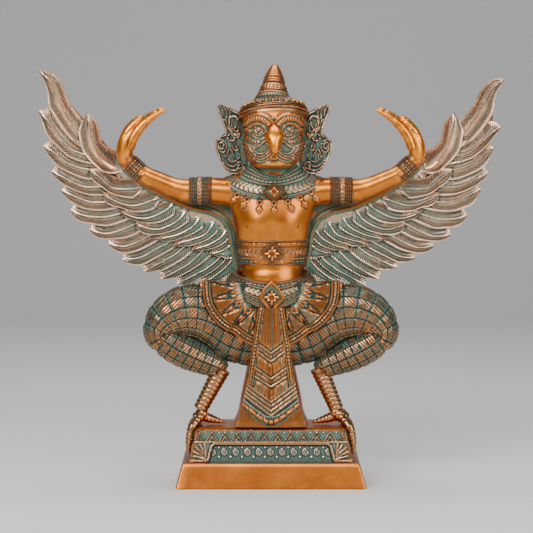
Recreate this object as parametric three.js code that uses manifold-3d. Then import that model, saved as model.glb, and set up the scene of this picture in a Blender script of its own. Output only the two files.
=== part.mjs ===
// A cast bronze garuda: a winged guardian, half bird and half man, that squats with raised hands on a plinth.
// Millimetres, +Z up, the figure faces -Y. The origin is the middle of the plinth's underside.
import * as THREE from "three";
import { mergeVertices } from "three/addons/utils/BufferGeometryUtils.js";
import Module from "manifold-3d";

const wasm = await Module();
wasm.setup();

// Driving dimensions of the plinth.
const SLAB_WIDTH = 136;
const SLAB_DEPTH = 74;
const SLAB_HEIGHT = 18;
const SLAB_BATTER = 5;
const PEDESTAL_WIDTH = 116;
const PEDESTAL_DEPTH = 58;
const PEDESTAL_HEIGHT = 24;
const PEDESTAL_BATTER = 5.5;
const PEDESTAL_EDGE = 2.6;
const PANEL_WIDTH = 88;
const PANEL_HEIGHT = 13.5;
const PANEL_FOOT = 0.8;
const PANEL_SHOULDER_SHARE = 0.93;
const PANEL_RECESS = 1.6;
const PANEL_RIM = 1.4;
const PANEL_RIM_RELIEF = 0.8;
const SCROLLS = 8;
const FRIEZE_HEIGHT = 6;
const FRIEZE_TEETH = 13;
const FRIEZE_TOOTH_SHARE = 0.42;
const FRIEZE_RELIEF = 1.1;
const SEAT_GAP = 0.3;
const CLAW_CLEARANCE = 0.55;

// Driving dimensions of the figure. Its pose and carving are drawn at DRAWN_HEIGHT and follow FIGURE_HEIGHT.
const FIGURE_HEIGHT = 259;
const WING_THICKNESS = 4.4;
const CLAW_RADIUS = 3.1;
const CLAW_REACH_SHARE = 0.86;
const DRAWN_HEIGHT = 259;
const SHARE = FIGURE_HEIGHT / DRAWN_HEIGHT;

const bronze = new THREE.MeshStandardMaterial({ color: 0xb5672c, metalness: 0.9, roughness: 0.38 });
const patinatedBronze = new THREE.MeshStandardMaterial({ color: 0x7d7457, metalness: 0.6, roughness: 0.55 });

/** A point of the drawn figure, in millimetres. */
function at(x, y, z) {
  return new THREE.Vector3(x * SHARE, y * SHARE, z * SHARE);
}

/** A solid from points and faces. Shared points are welded, empty faces dropped, faces turned outwards. */
function solidOf(geometry) {
  const bare = geometry.clone();
  for (const name of Object.keys(bare.attributes)) {
    if (name !== "position") bare.deleteAttribute(name);
  }
  const welded = mergeVertices(bare, 1e-4);
  const index = Array.from(welded.index.array);
  const faces = [];
  for (let i = 0; i < index.length; i += 3) {
    const [a, b, c] = index.slice(i, i + 3);
    if (a !== b && b !== c && c !== a) faces.push([a, b, c]);
  }
  const points = welded.attributes.position;
  const [p, q, r] = [new THREE.Vector3(), new THREE.Vector3(), new THREE.Vector3()];
  let volume = 0;
  for (const [a, b, c] of faces) {
    p.fromBufferAttribute(points, a);
    q.fromBufferAttribute(points, b);
    r.fromBufferAttribute(points, c);
    volume += p.dot(q.clone().cross(r));
  }
  const outward = volume < 0 ? faces.map(([a, b, c]) => [a, c, b]) : faces;
  return new wasm.Manifold(
    new wasm.Mesh({
      numProp: 3,
      vertProperties: new Float32Array(points.array),
      triVerts: new Uint32Array(outward.flat()),
    }),
  );
}

/** The solid's surface as a geometry with flat faces. */
function geometryOf(solid) {
  const mesh = solid.getMesh();
  const geometry = new THREE.BufferGeometry();
  geometry.setAttribute("position", new THREE.BufferAttribute(new Float32Array(mesh.vertProperties), 3));
  geometry.setIndex(new THREE.BufferAttribute(new Uint32Array(mesh.triVerts), 1));
  geometry.computeVertexNormals();
  return geometry;
}

/** All the solids joined in one. */
function join(solids) {
  return wasm.Manifold.union(solids);
}

/** A closed skin over rings of equally many points, with a flat fan at each end. */
function skin(rings) {
  const count = rings[0].length;
  const sumOf = (ring) => ring.reduce((sum, point) => sum.add(point), new THREE.Vector3());
  const middle = (ring) => sumOf(ring).divideScalar(count);
  const points = [...rings.flat(), middle(rings[0]), middle(rings.at(-1))];
  const [firstMiddle, lastMiddle] = [points.length - 2, points.length - 1];
  const faces = [];
  for (let i = 0; i < rings.length - 1; i++) {
    for (let j = 0; j < count; j++) {
      const next = (j + 1) % count;
      const [a, b, c, d] = [i * count + j, i * count + next, (i + 1) * count + next, (i + 1) * count + j];
      faces.push(a, b, c, a, c, d);
    }
  }
  const last = (rings.length - 1) * count;
  for (let j = 0; j < count; j++) {
    const next = (j + 1) % count;
    faces.push(firstMiddle, next, j, lastMiddle, last + j, last + next);
  }
  const geometry = new THREE.BufferGeometry().setFromPoints(points);
  geometry.setIndex(faces);
  return solidOf(geometry);
}

/** A limb along a smooth path, with a round start if asked. A stop is [x, y, z, across, deep]. */
function limb(stops, { sides = 8, steps = 6, rounded = false } = {}) {
  const path = new THREE.CatmullRomCurve3(stops.map(([x, y, z]) => at(x, y, z)));
  const radii = new THREE.CatmullRomCurve3(stops.map(([, , , wide, deep]) => at(wide, deep, 0)));
  const cap = (rounded ? [0.1, 0.45] : []).map((share) => [0, Math.sqrt(1 - (1 - share) ** 2), 1 - share]);
  const length = [...Array(steps + 1).keys()].map((i) => [i / steps, 1, 0]);
  return skin(
    [...cap, ...length].map(([t, size, back]) => {
      const along = path.getTangent(t);
      const across = new THREE.Vector3(0, 1, 0).cross(along).normalize();
      const deep = along.clone().cross(across).normalize();
      const radius = radii.getPoint(t);
      const centre = path.getPoint(t).addScaledVector(along, -back * radius.x);
      return [...Array(sides).keys()].map((j) => {
        const angle = (2 * Math.PI * (j + 0.5)) / sides;
        return centre
          .clone()
          .addScaledVector(across, radius.x * size * Math.cos(angle))
          .addScaledVector(deep, radius.y * size * Math.sin(angle));
      });
    }),
  );
}

/** An upright oval column. A level is [z, middle x, middle y, half width, half depth]. */
function column(levels, sides = 12) {
  return skin(
    levels.map(([z, x, y, wide, deep]) =>
      [...Array(sides).keys()].map((j) => {
        const angle = (2 * Math.PI * (j + 0.5)) / sides;
        return at(x + wide * Math.cos(angle), y + deep * Math.sin(angle), z);
      }),
    ),
  );
}

const FLAT_BEND = 0.02;

/** A relief over a grid with a plain back. place(column, row) gives [x, z, front y, back y]. */
function relief(columns, rows, place) {
  const wide = columns + 1;
  const places = [...Array(wide * (rows + 1)).keys()].map((i) => place(i % wide, Math.floor(i / wide)));
  const faces = [];
  for (let row = 0; row < rows; row++) {
    for (let column = 0; column < columns; column++) {
      const a = row * wide + column;
      faces.push([a, a + 1, a + wide + 1], [a, a + wide + 1, a + wide]);
    }
  }
  const [across, down] = [[...Array(columns).keys()], [...Array(rows).keys()]];
  const border = [
    ...across,
    ...down.map((row) => row * wide + columns),
    ...across.map((column) => rows * wide + columns - column),
    ...down.map((row) => (rows - row) * wide),
  ];
  const flat = border.map((i) => new THREE.Vector2(places[i][0], places[i][1]));
  const bends = flat.map((here, i) => {
    const next = flat[(i + 1) % flat.length];
    return Math.abs(here.clone().sub(flat.at(i - 1)).cross(next.clone().sub(here))) > FLAT_BEND;
  });
  const corners = border.flatMap((_, i) => (bends[i] ? [i] : []));
  const backOf = (i) => places.length + corners.filter((corner) => corner <= i).length - 1;
  border.forEach((here, i) => {
    const next = (i + 1) % border.length;
    faces.push([here, backOf(i), border[next]]);
    if (backOf(i) !== backOf(next)) faces.push([border[next], backOf(i), backOf(next)]);
  });
  const contour = corners.map((i) => flat[i]);
  const turns = Math.sign(THREE.ShapeUtils.area(contour));
  for (const triangle of THREE.ShapeUtils.triangulateShape(contour, [])) {
    const same = Math.sign(THREE.ShapeUtils.area(triangle.map((i) => contour[i]))) === turns;
    faces.push((same ? triangle.reverse() : triangle).map((i) => places.length + i));
  }
  const points = [
    ...places.map(([x, z, front]) => at(x, front, z)),
    ...corners.map((i) => at(flat[i].x, places[border[i]][3], flat[i].y)),
  ];
  const geometry = new THREE.BufferGeometry().setFromPoints(points);
  geometry.setIndex(faces.flat());
  return solidOf(geometry);
}

/** A disc-like turned body about a path point: profile pairs of [radius, distance along the axis]. */
function turned(profile, segments, place) {
  const closed = [[0, profile[0][1]], ...profile, [0, profile.at(-1)[1]]];
  const geometry = new THREE.LatheGeometry(
    closed.map(([radius, height]) => new THREE.Vector2(radius * SHARE, height * SHARE)),
    segments,
  );
  geometry.rotateX(Math.PI / 2);
  geometry.applyMatrix4(place);
  return solidOf(geometry);
}

/** A flat shape in the front view, from outline points [x, z], standing between two depths. */
function plaque(outline, frontY, backY) {
  const shape = new THREE.Shape(outline.map(([x, z]) => new THREE.Vector2(x * SHARE, z * SHARE)));
  const geometry = new THREE.ExtrudeGeometry(shape, { depth: (backY - frontY) * SHARE, bevelEnabled: false });
  geometry.rotateX(Math.PI / 2);
  geometry.translate(0, backY * SHARE, 0);
  return solidOf(geometry);
}

// The wing, drawn for one side with x counted outwards from the middle.
// A feather's shaft runs from its root to its tip through places [x, z].
const PRIMARY_FEATHERS = [
  [[127.4, 197.6], [134.6, 204.2], [143.3, 215], [151.2, 228.1], [155.5, 239.7], [161.3, 248.8], [168.5, 254.6]],
  [[118.8, 189.7], [133.9, 194], [144.7, 198.3], [154.8, 209.2], [162, 219], [168.5, 225.9]],
  [[114.5, 183.2], [133.2, 183.5], [147.6, 188.2], [158.4, 196.5], [165.6, 200.8]],
  [[110.2, 172.3], [125.3, 170.8], [136.1, 171.1], [147.6, 176.2], [159.5, 182.3]],
  [[101.5, 164.4], [114.5, 160.4], [130.3, 159.9], [141.1, 163.5], [152.6, 168.5]],
  [[92.9, 158.6], [104.4, 153.2], [120.2, 149.1], [134.6, 149.8], [145.8, 154.1]],
  [[81.4, 154.3], [94.3, 146.3], [108.7, 139.7], [120.2, 136.8], [132.1, 140]],
  [[68.4, 150.1], [79.9, 140.6], [91.4, 133.7], [105.8, 127.8], [118.8, 129.9]],
  [[58.3, 144.3], [68.4, 134.2], [79.9, 127.6], [94.3, 119.9], [108, 118]],
  [[49.7, 142.9], [59.8, 130.6], [69.8, 121.9], [81.4, 115.3], [92.3, 109.1]],
  [[41, 138.6], [48.2, 126.3], [58.3, 116.2], [68.4, 109.9], [79.9, 103.9]],
  [[31, 132.9], [36.7, 120.3], [46.1, 112.3], [56.9, 106.4], [68.4, 100.6]],
  [[25.9, 124.3], [29.5, 117.1], [35.3, 110.9], [42.5, 105.4], [49.7, 101.8]],
];
const COVERT_FEATHERS = [
  [[105.8, 181.8], [115.2, 184.6], [123.1, 191.5], [128.2, 200.5], [130.3, 210.7], [132.5, 224.5]],
  [[90, 170.9], [101.5, 169.5], [114.5, 170.1], [123.8, 177.7], [131.8, 183.9]],
  [[78.5, 163.8], [87.1, 160.8], [100.1, 157.2], [113, 160.7], [122.4, 167.2]],
  [[68.4, 160.5], [77, 153.6], [88.6, 148.5], [98.6, 148.8], [109.4, 153.5]],
  [[59.8, 155.9], [67.7, 146.5], [79.9, 140.6], [90, 141.3], [98.6, 144.9]],
  [[49.7, 151.6], [56.9, 142.2], [67, 136.7], [75.6, 134.5], [83.5, 133]],
  [[39.6, 148.8], [46.8, 137.5], [56.9, 133.1], [65.5, 130.9], [71.3, 127.6]],
  [[30.2, 142.3], [36.7, 134.3], [45.4, 129.2], [52.6, 127], [58, 124.8]],
  [[26.6, 132.9], [31, 127.9], [36.7, 124.6], [45.7, 122.4]],
];
// How far each primary's tip in the figure's left wing lies from its twin's place, as cast by hand.
const LEFT_WING_TIP_SHIFT = [
  [1.6, -6.3],
  [-1.0, -11.5],
  [-3.2, -1.1],
  [-1.4, -1.3],
  [0.3, 0.9],
  [-3.1, -4.1],
  [-0.9, -3.6],
  [0.4, -1.6],
  [-2.6, 1.3],
  [-0.1, 2.9],
  [-1.6, 0],
  [0.7, -1.1],
  [0, 0],
];
const WING_RIM = [
  [110.9, 191.8],
  [102.6, 181.5],
  [91.2, 172.3],
  [77.4, 164.3],
  [60.1, 156.9],
  [42.9, 152.8],
  [33.8, 147.0],
  [29.2, 137.9],
  [26.9, 123.0],
  [24.0, 112.0],
];
const WING_ROOT_X = 24;
const WING_ROOT_Y = 4;
const WING_SWEEP = 0.085;
const FEATHER_HALF_WIDTH = 5.6;
// Where the edge between two feathers ends, as shares of the upper and of the lower one's length.
const NOTCH = [0.78, 0.96];
const PRIMARY_NOTCHES = [[0.56, 0.84], [0.62, 0.88]];
const COVERT_NOTCHES = [[0.4, 0.97]];
const WEB_OUTLINE = [
  [62, 158],
  [43, 153.5],
  [34.5, 147.5],
  [30, 138],
  [27.5, 123],
  [18, 123],
  [20, 145],
  [24, 158],
  [34, 163],
  [62, 163],
];
const STEP_SLOPE = 0.03;
const COVERT_LIFT = 1.5;

/** Depth of the wing's front at a distance from the middle: the wings sweep back a little. */
function wingFace(x) {
  return WING_ROOT_Y + WING_SWEEP * Math.max(0, x - WING_ROOT_X);
}

/** A feather's curved shaft: places along it, and the heading of its lower side. */
function spineOf(shaft) {
  const curve = new THREE.SplineCurve(shaft.map(([x, z]) => new THREE.Vector2(x, z)));
  const down = (share) => {
    const heading = curve.getTangentAt(share);
    return new THREE.Vector2(heading.y, -heading.x);
  };
  return { place: (share) => curve.getPointAt(share), down };
}

/** A row of overlapping feathers in one relief, each with a raised shaft and its lower edge over the next. */
function featherRow(side, feathers, { lift, rows, fullTips, notches }) {
  const spines = feathers.map(spineOf);
  const last = spines.length - 1;
  const between = (i, share, blend) => {
    if (i < 0 || i > last - 1) {
      const { place, down } = spines[i < 0 ? 0 : last];
      const width = FEATHER_HALF_WIDTH * Math.sqrt(1.02 - share ** 3) * (i < 0 ? -1 : 1);
      return place(share).addScaledVector(down(share), width);
    }
    const [upperShare, lowerShare] = notches[i] ?? NOTCH;
    return spines[i].place(share * upperShare).lerp(spines[i + 1].place(share * lowerShare), blend);
  };
  const shaft = (i, share) => spines[i].place(share);
  const upper = { height: 0, point: (i, share) => between(i - 1, share, 0.5 + STEP_SLOPE) };
  const middle = { height: 1.7, point: shaft };
  const halfway = (i, share) => shaft(i, share * 0.94).lerp(between(i, share, 0.5), 0.6);
  const belly = { height: 0.9, point: halfway };
  const lower = { height: 1.3, point: (i, share) => between(i, share, 0.5 - STEP_SLOPE) };
  const edges = fullTips ? [upper, middle, belly, lower] : [upper, middle, lower];
  return relief(edges.length * feathers.length - 1, rows, (column, row) => {
    const [i, edge] = [Math.floor(column / edges.length), edges[column % edges.length]];
    const share = 1 - (1 - row / rows) ** 1.4;
    const { x, y: z } = edge.point(i, share);
    return [side * x, z, wingFace(x) - lift - edge.height, wingFace(x) + WING_THICKNESS / SHARE - lift];
  });
}

/** The raised rim that follows the arm and the body's side. */
function wingRim(side) {
  const stops = WING_RIM.map(([x, z]) => [side * x, wingFace(x) - 2.2, z, 1.5, 2.4]);
  return limb(stops, { sides: 4, steps: 9 });
}

/** One wing: its row of primaries, the coverts over their roots, its rim and the web beside the body. */
function wing(side) {
  const primaries = PRIMARY_FEATHERS.map((shaft, i) => {
    const [shiftX, shiftZ] = side > 0 ? LEFT_WING_TIP_SHIFT[i] : [0, 0];
    return shaft.map(([x, z], k) => {
      const share = (k / (shaft.length - 1)) ** 2;
      return [x + shiftX * share, z + shiftZ * share];
    });
  });
  return [
    featherRow(side, primaries, { lift: 0, rows: 4, fullTips: true, notches: PRIMARY_NOTCHES }),
    featherRow(side, COVERT_FEATHERS, { lift: COVERT_LIFT, rows: 4, fullTips: false, notches: COVERT_NOTCHES }),
    wingRim(side),
    plaque(WEB_OUTLINE.map(([x, z]) => [side * x, z]), 2.5, 6.5),
  ];
}

// Trunk from the hips to the neck, and the head. A level is [z, middle x, middle y, half width, half depth].
const TRUNK_LEVELS = [
  [62, 0, -1, 22, 13],
  [90, 0, -2, 29.5, 17],
  [102, 0.5, -2, 24, 15.5],
  [113, 1, -2, 21.3, 13.8],
  [133, 1, -3, 25.4, 15],
  [147, 1, -3.5, 27.6, 17],
  [159, 1, -2.5, 31.5, 16.5],
  [168, 1, -1.5, 35, 14.5],
  [177, 1, -1, 30, 11.5],
  [184, 1.5, -1, 15, 10.5],
  [193, 1.5, -2, 13, 11],
];
const FACE_X = 1.6;
const HEAD_LEVELS = [
  [179, FACE_X, -8, 7.5, 6],
  [181.5, FACE_X, -8, 13, 12],
  [186, FACE_X, -7.5, 17.4, 16],
  [193, FACE_X, -7, 20.4, 18],
  [202, FACE_X, -6.5, 22.2, 18.8],
  [212, FACE_X, -6, 22.9, 19],
  [220, FACE_X, -5, 22.8, 18.8],
  [228, FACE_X, -3, 20, 17],
];

/** Depth of a column's front at a place in the front view. */
function frontOf(levels, x, z) {
  const above = levels.findIndex(([level]) => level >= z);
  const upper = above < 0 ? levels.length - 1 : Math.max(1, above);
  const [low, high] = [levels[upper - 1], levels[upper]];
  const share = THREE.MathUtils.clamp((z - low[0]) / (high[0] - low[0]), 0, 1);
  const [, middleX, middleY, wide, deep] = low.map((value, i) => value + (high[i] - value) * share);
  return middleY - deep * Math.sqrt(1 - Math.min(0.9, Math.abs(x - middleX) / wide) ** 2);
}

// The raised arm, one side, x counted outwards.
const ARM_STOPS = [
  [26, -1, 166.5, 10.5, 10],
  [42, -2, 168.3, 9.6, 9.4],
  [58, -3, 168.2, 8.8, 8.6],
  [69, -3.5, 170.6, 7.3, 7.4],
  [80, -3.5, 175.2, 6.7, 7],
  [90, -3, 179.8, 6.2, 6.6],
  [98, -2.5, 185.4, 5.8, 6.2],
  [104, -2, 192.0, 5.8, 6],
];
const PALM_STOPS = [
  [103.8, -2, 191.5, 6.2, 5.6],
  [104.0, -2, 199.6, 6.6, 6.8],
  [101.6, -2, 206.6, 6.4, 7],
  [96.4, -2, 213.4, 4.4, 6.4],
];
const LONG_FINGER = [
  [99.0, 205.5, 3.8],
  [94.6, 212.4, 3.6],
  [88.4, 218.4, 2.9],
  [82.5, 222.6, 2.0],
  [76.0, 225.6, 0.6],
];
const OUTER_FINGER = [
  [105.6, 202.5, 3.4],
  [102.6, 209.8, 3.6],
  [98.2, 215.6, 3.2],
  [92.6, 220.8, 1.3],
];
const FINGER_PLACES = [-6.2, -2, 2.2];

/** An arm with its hand bent back and its nails curving inwards. */
function arm(side) {
  const mirrored = (stops) => stops.map(([x, ...rest]) => [side * x, ...rest]);
  const finger = (stops, y) => limb(stops.map(([x, z, r]) => [side * x, y, z, r, r]), { sides: 4, steps: 3 });
  return [
    limb(mirrored(ARM_STOPS), { sides: 8, steps: 7 }),
    limb(mirrored(PALM_STOPS), { sides: 6, steps: 3 }),
    ...FINGER_PLACES.map((y) => finger(LONG_FINGER, y)),
    finger(OUTER_FINGER, -4),
  ];
}

/** Turns a lathe body's axis to run along a direction at a place. */
function along(place, direction) {
  const heading = direction.clone().normalize();
  const turn = new THREE.Quaternion().setFromUnitVectors(new THREE.Vector3(0, 0, 1), heading);
  return new THREE.Matrix4().compose(place, turn, new THREE.Vector3(1, 1, 1));
}

/** The wide band on the upper arm and the cuff at the wrist. */
function armOrnaments(side) {
  const bandProfile = [
    [10.4, -8],
    [10.4, -5.8],
    [9.7, -5.2],
    [9.7, 5.2],
    [10.4, 5.8],
    [10.2, 8],
  ];
  const cuffProfile = [
    [7.4, -6],
    [6.9, -3],
    [6.9, 3],
    [7.2, 6],
  ];
  return [
    turned(bandProfile, 12, along(at(side * 50.5, -2.5, 168.4), new THREE.Vector3(side, 0, 0.0))),
    turned(cuffProfile, 10, along(at(side * 96.5, -2.6, 184.2), new THREE.Vector3(side * 0.72, 0, 0.69))),
  ];
}

/** A flame-edged side piece of the crown, one side of the head. */
const EAR_OUTLINE = [
  [17.5, 183.0],
  [26.0, 181.3],
  [34.9, 184.3],
  [38.2, 194.1],
  [40.2, 201.0],
  [39.6, 206.8],
  [33.6, 210.4],
  [35.4, 219.4],
  [38.6, 227.0],
  [37.9, 230.6],
  [32.4, 229.6],
  [28.5, 225.2],
  [18.0, 225.5],
];
const EAR_BOSSES = [
  [30.0, 217.5, 3.6, 6.6],
  [35.0, 202.5, 3.0, 4.4],
  [28.8, 196.0, 3.4, 4.6],
  [27.5, 206.5, 2.4, 3.0],
  [29.0, 187.5, 3.6, 2.6],
];

function ear(side) {
  const shift = side > 0 ? 2.2 : 0;
  const outline = EAR_OUTLINE.map(([x, z]) => [side * (x + shift), z]);
  const boss = ([x, z, wide, tall]) => {
    const ring = [...Array(6).keys()].map((j) => {
      const angle = (2 * Math.PI * j) / 6;
      return [side * (x + shift + wide * Math.cos(angle)), z + tall * Math.sin(angle)];
    });
    return plaque(ring, -2.8, 0);
  };
  return [plaque(outline, -1.4, 4.4), ...EAR_BOSSES.map(boss)];
}

/** A rounded ridge on the face through points [x, z] counted from the head's middle. */
function faceRidge(points, radius) {
  const stops = points.map(([x, z]) => [FACE_X + x, frontOf(HEAD_LEVELS, FACE_X + x, z), z, radius, radius]);
  return limb(stops, { sides: 4, steps: points.length });
}

const EYE_LEVEL_SHARE = 0.6776;

/** Beak, brows, eyes and the folds of the cheeks. */
function face() {
  const eyeZ = THREE.MathUtils.lerp(HEAD_LEVELS[0][0], HEAD_LEVELS.at(-1)[0], EYE_LEVEL_SHARE);
  const beak = limb(
    [
      [FACE_X, -22.5, 215.0, 1.8, 2],
      [FACE_X, -26.5, 210.5, 4.6, 3.6],
      [FACE_X, -31.0, 204.5, 5.0, 5],
      [FACE_X, -33.0, 198.0, 3.3, 4],
      [FACE_X, -31.4, 193.0, 1.0, 1.4],
    ],
    { sides: 8, steps: 5 },
  );
  const sided = [-1, 1].flatMap((side) => {
    const arc = (points) => points.map(([x, z]) => [side * x, z]);
    const eyeX = FACE_X + side * 11.2;
    const eye = turned(
      [
        [3.4, -1.5],
        [2.6, 0.6],
        [0.9, 1.2],
      ],
      6,
      along(at(eyeX, frontOf(HEAD_LEVELS, eyeX, eyeZ), eyeZ), new THREE.Vector3(side * 0.35, -1, 0.05)),
    );
    return [
      eye,
      faceRidge(arc([[3.4, 215.0], [7, 220.6], [12, 221.9], [17, 219.4], [20.4, 214.8]]), 1.5),
      faceRidge(arc([[3.8, 192.6], [8.4, 189.8], [13.4, 192.4], [17.0, 199.6]]), 1.0),
    ];
  });
  return [beak, ...sided];
}

const CROWN_TILT = -0.26;
const CROWN_DEPTH_SHARE = 0.86;

/** Crown: a banded dome with a tapering ringed spire, tilted back. */
function crown() {
  const spire = [
    [13.9, 11.6],
    [18.5, 10.4],
    [26.5, 8.3],
    [32.2, 6.3],
  ];
  const profile = [
    [22.6, -1.2],
    [24.9, 0.6],
    [24.0, 2.9],
    [24.6, 4.2],
    [23.4, 7.4],
    [19.8, 10.2],
    [14.6, 12.4],
    ...spire.flatMap(([height, radius]) => [
      [radius - 0.6, height - 0.5],
      [radius + 0.35, height + 1],
    ]),
    [5.2, 36.0],
    [3.6, 39.2],
    [1.8, 40.7],
  ];
  const place = new THREE.Matrix4()
    .makeTranslation(FACE_X * SHARE, -3.5 * SHARE, 219.0 * SHARE)
    .multiply(new THREE.Matrix4().makeRotationX(CROWN_TILT))
    .multiply(new THREE.Matrix4().makeScale(1, CROWN_DEPTH_SHARE, 1));
  return [turned(profile, 14, place)];
}

const DROPS = 9;
const DROP_ARC = 1.08;

/** Broad collar, its centre jewel and the pointed drops that hang from it. */
function collar() {
  const place = new THREE.Matrix4()
    .makeTranslation(1.4 * SHARE, -3.5 * SHARE, 176.5 * SHARE)
    .multiply(new THREE.Matrix4().makeRotationX(0.36))
    .multiply(new THREE.Matrix4().makeScale(1, 0.52, 1));
  const cape = turned(
    [
      [32, -8.5],
      [35.5, -7.2],
      [34.5, -4.8],
      [24, 1.6],
      [15.5, 7.6],
    ],
    14,
    place,
  );
  const jewel = plaque([[1.6, 159.5], [10.4, 168.2], [1.6, 175], [-7.2, 168.2]], -23.5, -12);
  const petals = [...Array(DROPS).keys()].map((i) => {
    const turn = ((i - (DROPS - 1) / 2) / ((DROPS - 1) / 2)) * DROP_ARC;
    const [x, z] = [1.4 + 38 * Math.sin(turn), 180 - 23.5 * Math.cos(turn)];
    const lean = 6.6 * Math.sin(turn * 0.8);
    const stop = (leaning, rise, wide, deep) => {
      const [dropX, dropZ] = [x + lean * leaning, z + rise];
      return [dropX, frontOf(TRUNK_LEVELS, dropX, dropZ) + 0.3, dropZ, wide, deep];
    };
    const stops = [
      stop(-0.25, 2.6, 1.6, 1.4),
      stop(0, 0, 2.7, 1.7),
      stop(0.45, -2.8, 2, 1.4),
      stop(0.95, -5.8, 0.4, 0.9),
    ];
    return limb(stops, { sides: 4, steps: 2 });
  });
  return [cape, jewel, ...petals];
}

/** Belt under the chest with its diamond clasp. */
function belt() {
  const half = [
    [116.4, 24.6, 15.4],
    [119.6, 24.0, 14.9],
    [129.0, 25.2, 15.6],
    [133.0, 26.6, 16.5],
  ];
  const clasp = [[0.8, 115.6], [8.8, 124.2], [0.8, 132.8], [-7.2, 124.2]];
  const inner = clasp.map(([x, z]) => [0.8 + (x - 0.8) * 0.66, 124.2 + (z - 124.2) * 0.66]);
  const frame = plaque(clasp, -19.8, -10).subtract(plaque(inner, -21, -18.7));
  return [column(half.map(([z, wide, deep]) => [z, 1, -2, wide, deep]), 16), frame];
}

/** A band round the hips between two heights that change with the angle from the front. */
function hipBand(levels, lowerAt, upperAt, sides = 16) {
  return skin(
    levels.map((share) =>
      [...Array(sides).keys()].map((j) => {
        const angle = (2 * Math.PI * (j + 0.5)) / sides;
        const front = (1 - Math.sin(angle)) / 2;
        const z = lowerAt(front) + (upperAt(front) - lowerAt(front)) * share;
        const swell = 1 + 0.035 * Math.sin(Math.PI * share);
        const tuck = 1 - 0.17 * share;
        return at(33 * swell * tuck * Math.cos(angle), -2 + 20 * swell * tuck * Math.sin(angle), z);
      }),
    ),
  );
}

/** Pointed girdle with its clasp. */
function girdle() {
  const lower = (front) => 100 - 15.5 * front ** 6;
  const upper = (front) => 110 - 6.2 * front ** 3;
  const clasp = [[0.4, 82.6], [9.8, 93.4], [5.0, 102.5], [0.4, 105.4], [-4.2, 102.5], [-9.0, 93.4]];
  return [hipBand([0, 0.15, 0.85, 1], lower, upper), plaque(clasp, -24.6, -12)];
}

const HIP_CLOTH_RADIUS = 47.5;
const HIP_CLOTH_TOP = 102;

/** Front depth of the hip cloth over the thigh. */
function hipClothFace(x) {
  return -21.5 - 0.0006 * x * x;
}

/** A fan of cloth over one thigh with a doubled rim and radial folds. */
function hipCloth(side) {
  const [from, to] = [0.0, 1.28];
  const across = [0.2, 0.84, 0.86, 0.92, 0.94, 1.0];
  const height = (share, fold) => {
    if (share < 0.85) return 0.5 * (fold % 2);
    return share > 0.915 && share < 0.935 ? 0.9 : 1.7;
  };
  const rows = 7;
  return relief(across.length - 1, rows, (column, row) => {
    const share = across[column];
    const v = row / rows;
    const angle = from + (to - from) * v;
    const reach = HIP_CLOTH_RADIUS * (1.05 - 0.1 * v) * share;
    const x = reach * Math.cos(angle);
    const z = HIP_CLOTH_TOP - reach * Math.sin(angle);
    return [side * x, z, hipClothFace(x) - height(share, row), hipClothFace(x) + 9];
  });
}

// The bent leg, one side, x counted outwards.
const THIGH_STOPS = [
  [14, -3, 70, 25, 13],
  [26, -4, 73, 25.6, 14],
  [38, -5.5, 77.5, 22, 14.5],
  [50, -7, 81.7, 19.8, 14.5],
  [62, -8.5, 82, 18.3, 14],
  [72, -9, 78.5, 15.8, 13.5],
  [78, -9, 73.5, 13, 12],
  [81.5, -9, 67, 9.9, 10],
  [79.5, -9, 60.5, 8.4, 8.5],
  [76.5, -9, 55.5, 4, 5],
];
const CALF_STOPS = [
  [81, -9, 65.5, 5.5, 6.5],
  [76, -9, 61.5, 10.3, 10.8],
  [68, -8.5, 56.2, 11.6, 11.6],
  [58, -7.5, 50.8, 11.2, 11],
  [47, -6, 45.8, 9.6, 9.8],
  [38, -5, 42, 7.8, 8.2],
  [33, -5, 38.6, 4, 4.6],
];
const SHIN_RINGS = 9;

/** Where one ankle stands: above the plinth's end, so that the claws can grip it. */
function ankle(side) {
  const inset = side < 0 ? 1.5 : 5;
  return [(pedestalHalf(PEDESTAL_WIDTH, PEDESTAL_TOP) - inset) / SHARE, -4, 10.5 / SHARE];
}

/** Thigh, calf and the thin ringed shin of a bird's leg. */
function leg(side) {
  const mirrored = (stops) => stops.map(([x, ...rest]) => [side * x, ...rest]);
  const [ankleX, ankleY, ankleZ] = ankle(side);
  const top = side < 0 ? [35.5, -5, 40] : [34.5, -5, 41];
  const between = (share) => top.map((value, i) => value + ([ankleX, ankleY, ankleZ][i] - value) * share);
  const rings = [...Array(2 * SHIN_RINGS + 1).keys()].map((i) => {
    const share = i / (2 * SHIN_RINGS);
    const radius = 6.7 - 1.5 * share + (i % 2 ? 0.5 : -0.5);
    const [x, y, z] = between(share);
    return [side * x, y, z, radius, radius];
  });
  return [
    limb(mirrored(THIGH_STOPS), { sides: 10, steps: 9 }),
    limb(mirrored(CALF_STOPS), { sides: 8, steps: 6 }),
    limb(rings, { sides: 5, steps: 2 * SHIN_RINGS }),
  ];
}

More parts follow.
